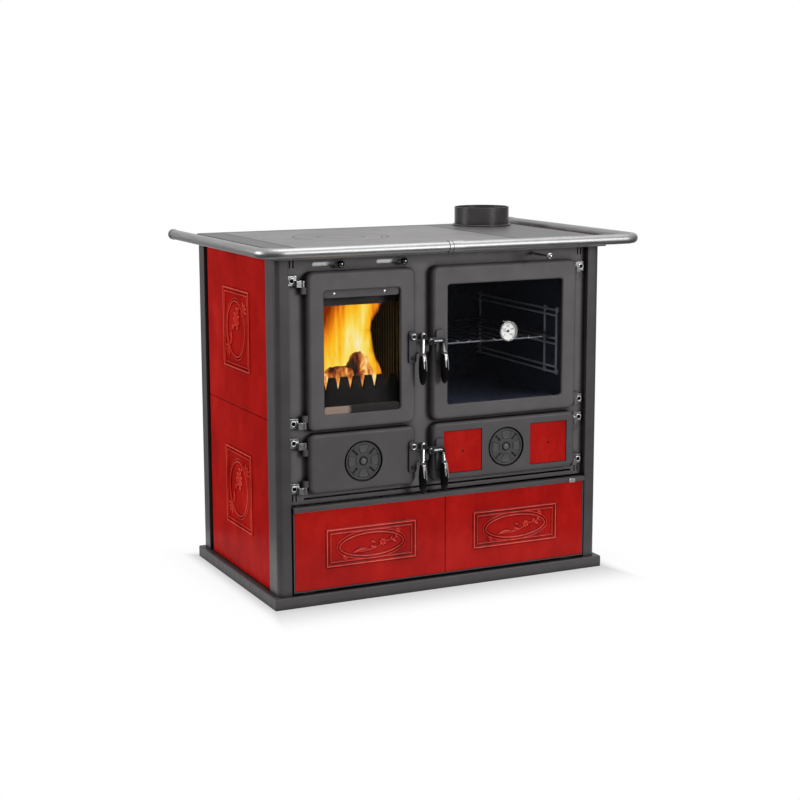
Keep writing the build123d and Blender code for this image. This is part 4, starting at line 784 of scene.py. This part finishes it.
def split_log(name, outline, y_front, y_back, glow, draw, material):
    """A charred split log lying front to back, with the glow given by x and z."""
    loop = [Vector((x, 0, z)) for x, z in outline]
    ring = []
    for here, after in zip(loop, loop[1:] + loop[:1]):
        for step in range(6):
            ring.append(here.lerp(after, step / 6))
    centre = sum(ring, Vector()) / len(ring)
    shift = Vector([draw.uniform(-90, 90) for _ in range(3)])
    verts, heat = [], []
    layers = [(y_front, share) for share in (0.02, 0.35, 0.7, 1.0)]
    layers += [(y_front + (y_back - y_front) * step / 8, 1.0) for step in range(1, 9)]
    layers.append((y_back, 0.05))
    for y, share in layers:
        for flat in ring:
            point = centre + (flat - centre) * share
            point.y = y
            push = noise.noise((point + shift) * 0.05) * 7 + noise.noise((point + shift) * 0.17) * 3
            out = flat - centre
            out.y = 0
            point += out.normalized() * push * share
            point.y -= push * 1.3 * (1.2 - share)
            verts.append(tuple(point * MM))
            heat.append(glow(point.x, point.z) + 0.3 * noise.noise((point + shift) * 0.06))
    faces = band_faces(len(layers), len(ring))
    obj = add_mesh(name, verts, faces, material, "stove", smooth=False)
    set_attribute(obj, "warmth", np.clip(heat, 0, 1))


def add_fire(flame_material, ember_material):
    """The flame sheets and the three logs, all drawn from one seed."""
    draw = random.Random(FIRE_SEED)
    for index, (y, shift) in enumerate(FLAME_SHEETS, 1):
        edge = (FLAME_EDGE[0], [x + shift for x in FLAME_EDGE[1]])
        curtain(f"flame_{index}", y, FLAME_LEFT + shift, edge, FLAME_TOP, FLAME_HEATS, FLAME_FADE,
                draw, flame_material)
    curtain("flame_low", LOW_DEPTH, LOW_LEFT, LOW_EDGE, LOW_TOP, LOW_HEATS, LOW_FADE,
            draw, flame_material)
    for name, outline, span, glow in (
        ("log_left", LEFT_LOG, LEFT_SPAN, lambda x, z: np.interp(z, *LEFT_GLOW)),
        ("log_right", RIGHT_LOG, RIGHT_SPAN, lambda x, z: np.interp(x, *RIGHT_GLOW)),
        ("log_rear", REAR_LOG, REAR_SPAN, lambda x, z: REAR_GLOW),
    ):
        split_log(name, outline, *span, glow, draw, ember_material)


# Small fittings
# Tines of a grip: turn at the top and at the tip in radians, share of the grip's length
TINES = ((-0.25, -0.05, 0.44), (0.45, 0.75, 0.52))
TINE_WIDE = 0.42
TINE_TIP = 0.14
TINE_PROUD = 0.6 * MM
TINE_SUNK = 1.5 * MM
# Radius of a grip as a share of the widest, by share of the length
GRIP_PLACES = (0.0, 0.19, 0.44, 0.77)
GRIP_RADII = (0.72, 0.92, 1.0, 0.86)
BOLT_SPLIT = 12.0 * MM
BOLT_RIM = 1.3 * MM
BOLT_RIM_BACK = 2.0 * MM
# Register relief in millimetres: field, panels, slots and hub
REGISTER_FIELD = 42.0
REGISTER_THICK = 6.0
REGISTER_EDGE = 1.8
PANEL_MIDDLE = 30.0
SLOT_MIDDLE = 32.0
PANEL_HALF = 9.0
SLOT_HALF = 2.3
SLOT_DEEP = 4.6
HUB_RADIUS = 8.5
HUB_HIGH = 3.6
# Screws of the glass strip: shares of its length, drop from its top, and size
STRIP_SCREWS = {"left": 0.14, "right": 0.8}
STRIP_DROP = 7.5 * MM
SCREW_RADIUS = 4.0 * MM
SCREW_HIGH = 2.2 * MM
# Thermometer dial
DIAL_DEPTH = 5.0 * MM
DIAL_TICK = 20.5 * MM
DIAL_NUMBER = 11.9 * MM
DIAL_LIFT = 0.15 * MM
DIAL_TICKS = 21
DIAL_NUMBERS = 5
LONG_TICK = (5.0 * MM, 0.7 * MM)
SHORT_TICK = (3.0 * MM, 0.4 * MM)
NUMBER_SIZE = 6.4 * MM


def grip_inlay(door):
    """The lever's two bright tines, let into the front of the black grip."""
    low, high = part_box(door + "_handle_grip")
    axis_x, axis_y = (low.x + high.x) / 2, (low.y + high.y) / 2
    radius = (high.x - low.x) / 2
    columns, rows = 5, 16
    for tine, (turn_top, turn_low, share) in enumerate(TINES, 1):
        length = (high.z - low.z) * share
        verts = []
        for lift in (TINE_PROUD, -TINE_SUNK):
            for row in range(rows + 1):
                t = row / rows
                reach = radius * np.interp(t * share, GRIP_PLACES, GRIP_RADII) + lift
                spread = TINE_WIDE * (1 - t) ** 0.5 + TINE_TIP
                z = high.z - length * t
                for column in range(columns + 1):
                    turn = turn_top + (turn_low - turn_top) * t + spread * (column / columns - 0.5)
                    verts.append((axis_x + reach * math.sin(turn), axis_y - reach * math.cos(turn), z))
        add_mesh(f"{door}_grip_tine_{tine}", verts, sheet_faces(columns + 1, rows + 1), BRIGHT,
                 door + "_handle")


def round_front(sides):
    """Directions in even steps round the forward axis."""
    side = FORWARD.orthogonal().normalized()
    over = FORWARD.cross(side)
    turns = [2 * math.pi * step / sides for step in range(sides)]
    return [side * math.cos(turn) + over * math.sin(turn) for turn in turns]


def ring_mesh(centre, radius, wire):
    """Points and faces of a round wire ring that faces forward."""
    sides, turns = 24, 8
    verts = []
    for flat in round_front(sides):
        for turn in range(turns):
            roll = 2 * math.pi * turn / turns
            reach = flat * (radius + wire * math.cos(roll))
            verts.append(Vector(centre) + reach + FORWARD * wire * math.sin(roll))
    return verts, band_faces(sides, turns, True)


def bolt_rings(material):
    """A bright washer rim round each hinge bolt."""
    points = read(nodes["hinge_bolts"].data.vertices, "co", 3)
    points = points[np.argsort(points[:, 2])]
    verts, faces = [], []
    for side in (-1, 1):
        column = points[points[:, 0] * side > 0]
        for bolt in np.split(column, np.flatnonzero(np.diff(column[:, 2]) > BOLT_SPLIT) + 1):
            low, high = (Vector(end.tolist()) for end in (bolt.min(axis=0), bolt.max(axis=0)))
            centre = ((low.x + high.x) / 2, low.y + BOLT_RIM_BACK, (low.z + high.z) / 2)
            ring_verts, ring_faces = ring_mesh(centre, (high.z - low.z) / 2 + BOLT_RIM, BOLT_RIM)
            start = len(verts)
            verts.extend(ring_verts)
            faces.extend(tuple(start + i for i in face) for face in ring_faces)
    add_mesh("hinge_bolt_rims", verts, faces, material, "stove")


def register_height(reach, turn):
    """Height of a register's face in millimetres at a radius and an angle."""
    out = np.where(reach < REGISTER_FIELD, -0.5, 0.0) - ridge(reach, REGISTER_FIELD, 0.8, 1.2)
    quarter = (turn + math.pi / 4) % (math.pi / 2) - math.pi / 4
    across, along = reach * np.sin(quarter), reach * np.cos(quarter)
    panel = np.maximum(np.abs(across) - 0.36 * along, np.abs(reach - PANEL_MIDDLE) - PANEL_HALF)
    out = out + np.where(panel < 0, 0.6, 0.0)
    out = out - ridge(panel, 0.5, 0.7, 1.3) + ridge(panel, -1.6, 0.7, 0.6)
    diagonal = (turn % (math.pi / 2)) - math.pi / 4
    across, along = reach * np.sin(diagonal), reach * np.cos(diagonal)
    slot = rectangle_distance(across, along - SLOT_MIDDLE, SLOT_HALF, PANEL_HALF)
    out = np.where(slot < 0, -SLOT_DEEP, out)
    hub = HUB_HIGH * np.sqrt(np.clip(1 - (reach / HUB_RADIUS) ** 2, 0, 1))
    return out + hub - ridge(reach, HUB_RADIUS + 0.9, 1.3, 2.6)


def register_relief(node):
    """The register's cast face over its turning disc."""
    low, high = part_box(node)
    centre = Vector(((low.x + high.x) / 2, 0, (low.z + high.z) / 2))
    radius = (high.x - low.x) / 2 / MM
    face_y = high.y - REGISTER_THICK * MM
    sides = 160
    inner = np.linspace(0.3, radius - REGISTER_EDGE, 66)
    radii = np.unique(np.r_[inner, radius - 1.2, radius - 0.6, radius])
    reach, turn = np.meshgrid(radii, np.arange(sides) * 2 * math.pi / sides, indexing="ij")
    edge = np.clip(reach - radius + REGISTER_EDGE, 0, REGISTER_EDGE)
    height = register_height(reach, turn) - edge * 1.4
    points = np.stack([
        centre.x + reach * np.cos(turn) * MM, face_y - height * MM, centre.z + reach * np.sin(turn) * MM
    ], axis=-1).reshape(-1, 3)
    back = points[-sides:].copy()
    back[:, 1] = high.y
    faces = band_faces(len(radii) + 1, sides)
    obj = add_mesh(node + "_face", np.vstack([points, back]), faces, CASTING, node)
    # The relief attribute here is painted shade in the grooves and painted highlight on the raised parts,
    # from the height
    set_attribute(obj, "thin", np.r_[np.clip(0.5 + height / 4.0, 0, 1).ravel(), np.full(sides, 0.5)])
    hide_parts(node)


def strip_screws(material):
    """Two round-headed screws on the glass strip."""
    low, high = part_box("firebox_glass_strip")
    rings, sides = 5, 20
    for place, share in STRIP_SCREWS.items():
        seat = Vector((low.x + share * (high.x - low.x), low.y, high.z - STRIP_DROP))
        verts = []
        for ring in range(rings + 1):
            angle = math.pi / 2 * ring / rings
            middle = seat + FORWARD * SCREW_HIGH * math.sin(angle)
            reach = SCREW_RADIUS * max(math.cos(angle), 0.02)
            verts.extend(middle + flat * reach for flat in round_front(sides))
        add_mesh("glass_strip_screw_" + place, verts, band_faces(rings + 1, sides), material,
                 "firebox_door")


def dial_direction(share):
    """Direction on the dial, from its lower left over the top to its lower right."""
    turn = math.radians(225 - 270 * share)
    return Vector((math.cos(turn), 0, math.sin(turn)))


def dial_marks(ink):
    """Ticks and plain numbers on the thermometer's dial."""
    low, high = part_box("oven_thermometer")
    centre = Vector(((low.x + high.x) / 2, 0, (low.z + high.z) / 2))
    face_y = low.y + DIAL_DEPTH - DIAL_LIFT
    verts, faces = [], []
    for mark in range(DIAL_TICKS):
        length, half = LONG_TICK if mark % 5 == 0 else SHORT_TICK
        inner, outer = DIAL_TICK - length, DIAL_TICK
        radial = dial_direction(mark / (DIAL_TICKS - 1))
        cross = Vector((-radial.z, 0, radial.x))
        start = len(verts)
        for depth in (0.0, -0.1 * MM):
            for reach, side in ((inner, -1), (outer, -1), (outer, 1), (inner, 1)):
                point = centre + radial * reach + cross * side * half
                verts.append((point.x, face_y + depth, point.z))
        faces.extend(tuple(start + i for i in face) for face in band_faces(2, 4))
    add_mesh("dial_ticks", verts, faces, ink, "oven_door", smooth=False)
    for number in range(DIAL_NUMBERS):
        data = bpy.data.curves.new(f"dial_number_{number}", "FONT")
        data.body = str(number * 100)
        data.size = NUMBER_SIZE
        data.align_x = data.align_y = "CENTER"
        data.extrude = 0.05 * MM
        data.materials.append(ink)
        text = bpy.data.objects.new(f"dial_number_{number}", data)
        place = centre + dial_direction(number / (DIAL_NUMBERS - 1)) * DIAL_NUMBER
        place.y = face_y
        text.matrix_world = Matrix.Translation(place) @ Matrix.Rotation(math.pi / 2, 4, "X")
        scene.collection.objects.link(text)
        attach(text, "oven_door")


def paint(node, *materials):
    """Give a solid its materials."""
    mesh = nodes[node].data
    mesh.materials.clear()
    for material in materials:
        mesh.materials.append(material)


def coat(material, *members):
    """Give solids a finish, with round shading on their curved faces."""
    for member in members:
        paint(member, material)
        smooth_node(member)
    return material


def paint_where(node, index, test):
    """Use another of a solid's materials on faces that pass a test of centre and normal."""
    for polygon in nodes[node].data.polygons:
        if test(polygon.center, polygon.normal):
            polygon.material_index = index


# Stage
FLOOR_EDGE = 0.76
FLOOR_WHITE = 0.85
FLOOR_FADE = 0.12
# Painted contact shadow: its reach beside and before the plinth, where it starts, and its depth
CONTACT_SIDE = 0.05
CONTACT_FRONT = 0.2
CONTACT_START = -0.45
CONTACT_DARK = 0.55
# Light of the studio, and what mirrors see of its walls, its white screen and its ceiling
WORLD_LIGHT = 0.42
STUDIO_WALL = 0.12
STUDIO_CEILING = 0.85
SCREEN_EDGE = (0.7, 0.82)
CEILING_EDGE = (0.22, 0.42)
# Lamps: name, place, size and power
STOVE_MIDDLE = Vector((0.0, 0.0, 0.45))
LAMPS = (
    ("front", (1.7, -3.8, 1.4), (1.3, 1.3), 91),
    ("side", (-3.6, 1.2, 1.4), (1.2, 1.2), 80),
    ("top", (0.2, -0.5, 3.0), (2.4, 1.8), 50),
)


def add_floor():
    """A pale round floor that fades into the white background, keeps the lamps' shadow and carries a
    painted contact shadow round the plinth.
    """
    shader = Shader("floor", (0.9, 0.9, 0.9), 0.9, Specular_IOR_Level=0.0)
    path = shader.node("ShaderNodeLightPath").outputs
    seen = shader.most(path["Is Camera Ray"], path["Is Glossy Ray"], path["Is Transmission Ray"])
    axes = shader.axes(shader.place())
    plinth_low, plinth_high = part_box("plinth")
    beside = shader.math("SUBTRACT", shader.math("ABSOLUTE", axes["X"]), plinth_high.x)
    before = shader.math("SUBTRACT", plinth_low.y, axes["Y"])
    behind = shader.math("SUBTRACT", axes["Y"], plinth_high.y)
    white = shader.levels(shader.most(beside, before, behind), 0.0, FLOOR_FADE, FLOOR_WHITE, 1.0)
    # Painted contact shadow round the plinth, longest before it
    contact = shader.most(*(
        shader.math("DIVIDE", gap, reach)
        for gap, reach in ((beside, CONTACT_SIDE), (before, CONTACT_FRONT), (behind, CONTACT_SIDE))
    ))
    shadow = shader.levels(contact, CONTACT_START, 1.0, CONTACT_DARK, 1.0, "SMOOTHERSTEP")
    glow = shader.node("ShaderNodeEmission", Color=(1, 1, 1, 1), Strength=shadow)
    shader.blend(shader.math("MULTIPLY", seen, white), shader.bsdf, glow)
    sides = 96
    turns = [2 * math.pi * k / sides for k in range(sides)]
    ring = [(FLOOR_EDGE * math.cos(turn), FLOOR_EDGE * math.sin(turn), 0) for turn in turns]
    mesh = bpy.data.meshes.new("floor")
    mesh.from_pydata(ring, [], [tuple(range(sides))])
    mesh.materials.append(shader.material)
    floor = bpy.data.objects.new("floor", mesh)
    scene.collection.objects.link(floor)
    floor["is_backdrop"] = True


def add_world():
    """A white backdrop behind the stove, a pale ceiling and dimmer walls."""
    world = bpy.data.worlds.new("studio")
    scene.world = world
    world.use_nodes = True
    studio = Nodes(world.node_tree)
    direction = studio.node("ShaderNodeTexCoord").outputs["Generated"]
    towards = studio.node("ShaderNodeVectorMath", operation="DOT_PRODUCT")
    yaw = math.radians(CAMERA_YAW)
    studio.feed(towards.inputs[0], direction)
    studio.feed(towards.inputs[1], (math.sin(yaw), math.cos(yaw), 0.0))
    screen = studio.levels(towards.outputs["Value"], *SCREEN_EDGE, STUDIO_WALL, 1.0, "SMOOTHSTEP")
    height = studio.axes(direction)["Z"]
    ceiling = studio.levels(height, *CEILING_EDGE, 0.0, STUDIO_CEILING, "SMOOTHSTEP")
    bright = studio.most(screen, ceiling)
    path = studio.node("ShaderNodeLightPath").outputs
    mirrored = studio.most(path["Is Glossy Ray"], path["Is Transmission Ray"])
    level = studio.levels(mirrored, 0.0, 1.0, WORLD_LIGHT, bright)
    shown = studio.levels(path["Is Camera Ray"], 0.0, 1.0, level, 1.0)
    studio.fit(studio.tree.nodes["Background"], Color=(1, 1, 1, 1), Strength=shown)


def add_lamp(name, at, size, power):
    """A flat lamp that faces the stove."""
    data = bpy.data.lights.new(name, "AREA")
    data.shape = "RECTANGLE"
    data.size, data.size_y = size
    data.energy = power
    lamp = bpy.data.objects.new(name, data)
    facing = (STOVE_MIDDLE - Vector(at)).to_track_quat("-Z", "Y").to_matrix().to_4x4()
    lamp.matrix_world = Matrix.Translation(at) @ facing
    scene.collection.objects.link(lamp)


# Put the scene together
add_camera()
scene.view_settings.view_transform = "Standard"
add_world()
add_floor()
for lamp_row in LAMPS:
    add_lamp(*lamp_row)

# Iron: tones, roughness, grain, gloss
BODY = cast_iron("charcoal_steel", 0.045, 0.055, 0.42, 0.55, 0.12)
DOOR = cast_iron("charcoal_iron", 0.066, 0.084, 0.46, 0.58, 0.3)
LOW_DOOR = cast_iron("low_door_iron", 0.05, 0.063, 0.46, 0.58, 0.3)
PLATE = cast_iron("bracket_paint", 0.036, 0.046, 0.4, 0.5, 0.1)
CASTING = cast_relief("register_iron", 0.057)
BRACKETS = {"firebox": PLATE, "ash": PLATE, "oven": DOOR, "lower": LOW_DOOR}
coat(BODY, "plinth", "door_catches", "drawer_front")
coat(DOOR, "firebox_door", "oven_door")
coat(LOW_DOOR, "ash_door", "lower_door", "ash_register", "lower_register")
# The facade takes a lighter copy of the door iron: painted light under the hob's overhang
coat(cast_iron("front_iron", 0.086, 0.106, 0.46, 0.58, 0.25), "facade")
coat(cast_iron("post_paint", 0.044, 0.056, 0.28, 0.36, 0.08, 0.25), "front_posts", "rear_posts")
coat(cast_iron("sooted_iron", 0.006, 0.016, 0.6, 0.8, 0.4, 0.15),
     "hearth_plate", "fire_grate", "firebox_lining")
coat(cast_iron("fence_iron", 0.003, 0.008, 0.7, 0.85, 0.4, 0.1), "fire_fence")
coat(cast_iron("collar_paint", 0.035, 0.05, 0.28, 0.38, 0.1, 0.15), "flue_collar")
coat(hob_iron("hob_iron", 0.172, None, (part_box("hob_ring"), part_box("hob_disc"))),
     "hob_plate", "hob_ring", "hob_disc")
# The frame takes a darker copy of the hob iron: painted shade on the frame
coat(hob_iron("hob_frame_iron", 0.1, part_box("hob_plate")), "hob_frame")
# Glaze, steel, glass and fire
GLAZE = coat(glaze("red_glaze", 0.1), "drawer_tiles", "lower_door_tiles")
SIDE_GLAZE = coat(glaze("side_glaze", 0.006), "side_tiles")
coat(brushed("rail_steel", 0.34, 0.4, 0.5, (0.05, 0.05, 1.0)), "rail_left", "rail_right", "rail_fittings")
coat(brushed("sheet_steel", 0.4, 0.32, 0.45, (1.0, 1.0, 0.05)),
     "rear_panel", "side_panels", "stove_floor", "drawer_box", "drawer_runners")
coat(pane("fire_glass", (0.96, 0.95, 0.93)), "firebox_glass")
coat(pane("oven_glass", (0.88, 0.89, 0.92)), "oven_glass")
STRIP = coat(strip_steel("glass_strip_steel", -0.252, 0.012), "firebox_glass_strip")
FLAME = flame_shader("flame")
EMBER = ember_shader("ember")
# Small finishes: colour, roughness, metal, mottle, its scale, rounded edge in millimetres
CHROME = plain("chrome", (0.5, 0.5, 0.51), 0.18, 1.0, 0.04, 60.0, 0.8)
BRIGHT = plain("bright_zinc", (0.68, 0.68, 0.66), 0.22, 0.82, 0.12, 120.0, 1.4)
RIM = plain("washer_zinc", (0.9, 0.9, 0.9), 0.3, 0.4, 0.05)
# A darker copy of the chrome for the arms of the oven and lower levers: painted shade
ARM_SHADE_CHROME = plain("arm_chrome_painted_shade", (0.12, 0.12, 0.125), 0.2, 1.0, 0.1, 60.0, 0.8)
# The slide zinc gets painted shade within 6 mm of other faces, by the slot's edges
ZINC = plain("slide_zinc", (0.72, 0.71, 0.7), 0.4, 0.1, 0.08, 80.0, near=6.0)
KNOB = plain("black_knob", (0.16, 0.16, 0.165), 0.07, 1.0, 0.1, 60.0, 0.6)
DIAL = plain("dial_white", (0.82, 0.82, 0.8), 0.4, 0.0, 0.03, 200.0)
INK = plain("dial_ink", (0.02, 0.02, 0.02), 0.5, 0.0, 0.2)
coat(CHROME, "smoke_rod", *(door + "_handle_lever" for door in BRACKETS))
coat(BRIGHT, "drawer_latch")
coat(ZINC, "air_slider_left", "air_slider_right")
coat(plain("black_grip", (0.004, 0.004, 0.0045), 0.22, 0.0, 0.2, 40.0, Specular_IOR_Level=0.08),
     "hinge_bolts", *(door + "_handle_grip" for door in BRACKETS))
coat(plain("oven_enamel", (0.03, 0.034, 0.058), 0.3, 0.0, 0.3, 90.0, Specular_IOR_Level=0.3),
     "oven_box", "ash_pan")
coat(DIAL, "oven_thermometer")
coat(INK, "thermometer_needle")
coat(plain("hinge_zinc", (0.3, 0.3, 0.3), 0.25, 0.82, 0.2, 120.0, 2.0), "hinge_brackets")
coat(plain("wire_chrome", (0.6, 0.6, 0.62), 0.4, 0.3, 0.06), "oven_rack_guides")
coat(plain("rack_chrome", (0.1, 0.1, 0.105), 0.3, 0.6, 0.06), "oven_rack")
coat(plain("rope", (0.22, 0.21, 0.19), 0.9, 0.0, 0.4, 700.0), "firebox_door_gasket")

# Solids with more than one finish
# A face whose normal points further forward than this is a front face
FRONT_FACING = -0.9
paint("oven_thermometer", DIAL, CHROME)
dial_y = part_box("oven_thermometer")[0].y + DIAL_DEPTH * 0.9
paint_where("oven_thermometer", 1, lambda at, normal: normal.y >= FRONT_FACING or at.y <= dial_y)
facade_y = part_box("facade")[0].y
for slider in ("air_slider_left", "air_slider_right"):
    paint(slider, ZINC, KNOB)
    paint_where(slider, 1, lambda at, normal: at.y < facade_y)
strip_low, strip_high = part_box("firebox_glass_strip")
paint("firebox_glass_strip", STRIP, BODY)
paint_where("firebox_glass_strip", 1, lambda at, normal: at.z > (strip_low.z + strip_high.z) / 2)

# Handle brackets: plate, boss and its crown, screw below it, and the left doors' boss rims
BRACKET_PLATE = 5.0 * MM
PLATE_SKIN = 0.1 * MM
BOSS_CROWN = 7.0 * MM
SCREW_DROP = 50.0 * MM
BOSS_AT = Vector((10.0, -13.0, -12.0)) * MM
BOSS_RIM = 6.0 * MM
BOSS_WIRE = 1.5 * MM
LEVER_ARM = 20.0 * MM
for door, finish in BRACKETS.items():
    bracket = door + "_handle_bracket"
    low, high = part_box(bracket)
    paint(bracket, finish, BRIGHT, KNOB)
    smooth_node(bracket)
    plate_y = high.y - BRACKET_PLATE
    paint_where(bracket, 1, lambda at, normal: at.y < plate_y - PLATE_SKIN)
    paint_where(
        bracket, 2,
        lambda at, normal: at.y < plate_y - BOSS_CROWN and normal.y < FRONT_FACING
        or at.y < plate_y - PLATE_SKIN and at.z < high.z - SCREW_DROP,
    )
    grip_inlay(door)
for door in ("firebox", "ash"):
    low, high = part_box(door + "_handle_bracket")
    boss = Vector((low.x, high.y, high.z)) + BOSS_AT
    rim_verts, rim_faces = ring_mesh(boss, BOSS_RIM, BOSS_WIRE)
    add_mesh(door + "_boss_rim", rim_verts, rim_faces, CHROME, door + "_door")
# The arms of these levers take the darker chrome copy: painted shade in place of their bright reflection
for door in ("oven", "lower"):
    lever = door + "_handle_lever"
    arm_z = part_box(lever)[1].z - LEVER_ARM
    paint(lever, CHROME, ARM_SHADE_CHROME)
    paint_where(lever, 1, lambda at, normal: at.z > arm_z)
bolt_rings(RIM)
register_relief("ash_register")
register_relief("lower_register")
dial_marks(INK)
add_tiles(SIDE_GLAZE, GLAZE)
add_fire(FLAME, EMBER)
strip_screws(BRIGHT)

low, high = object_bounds()
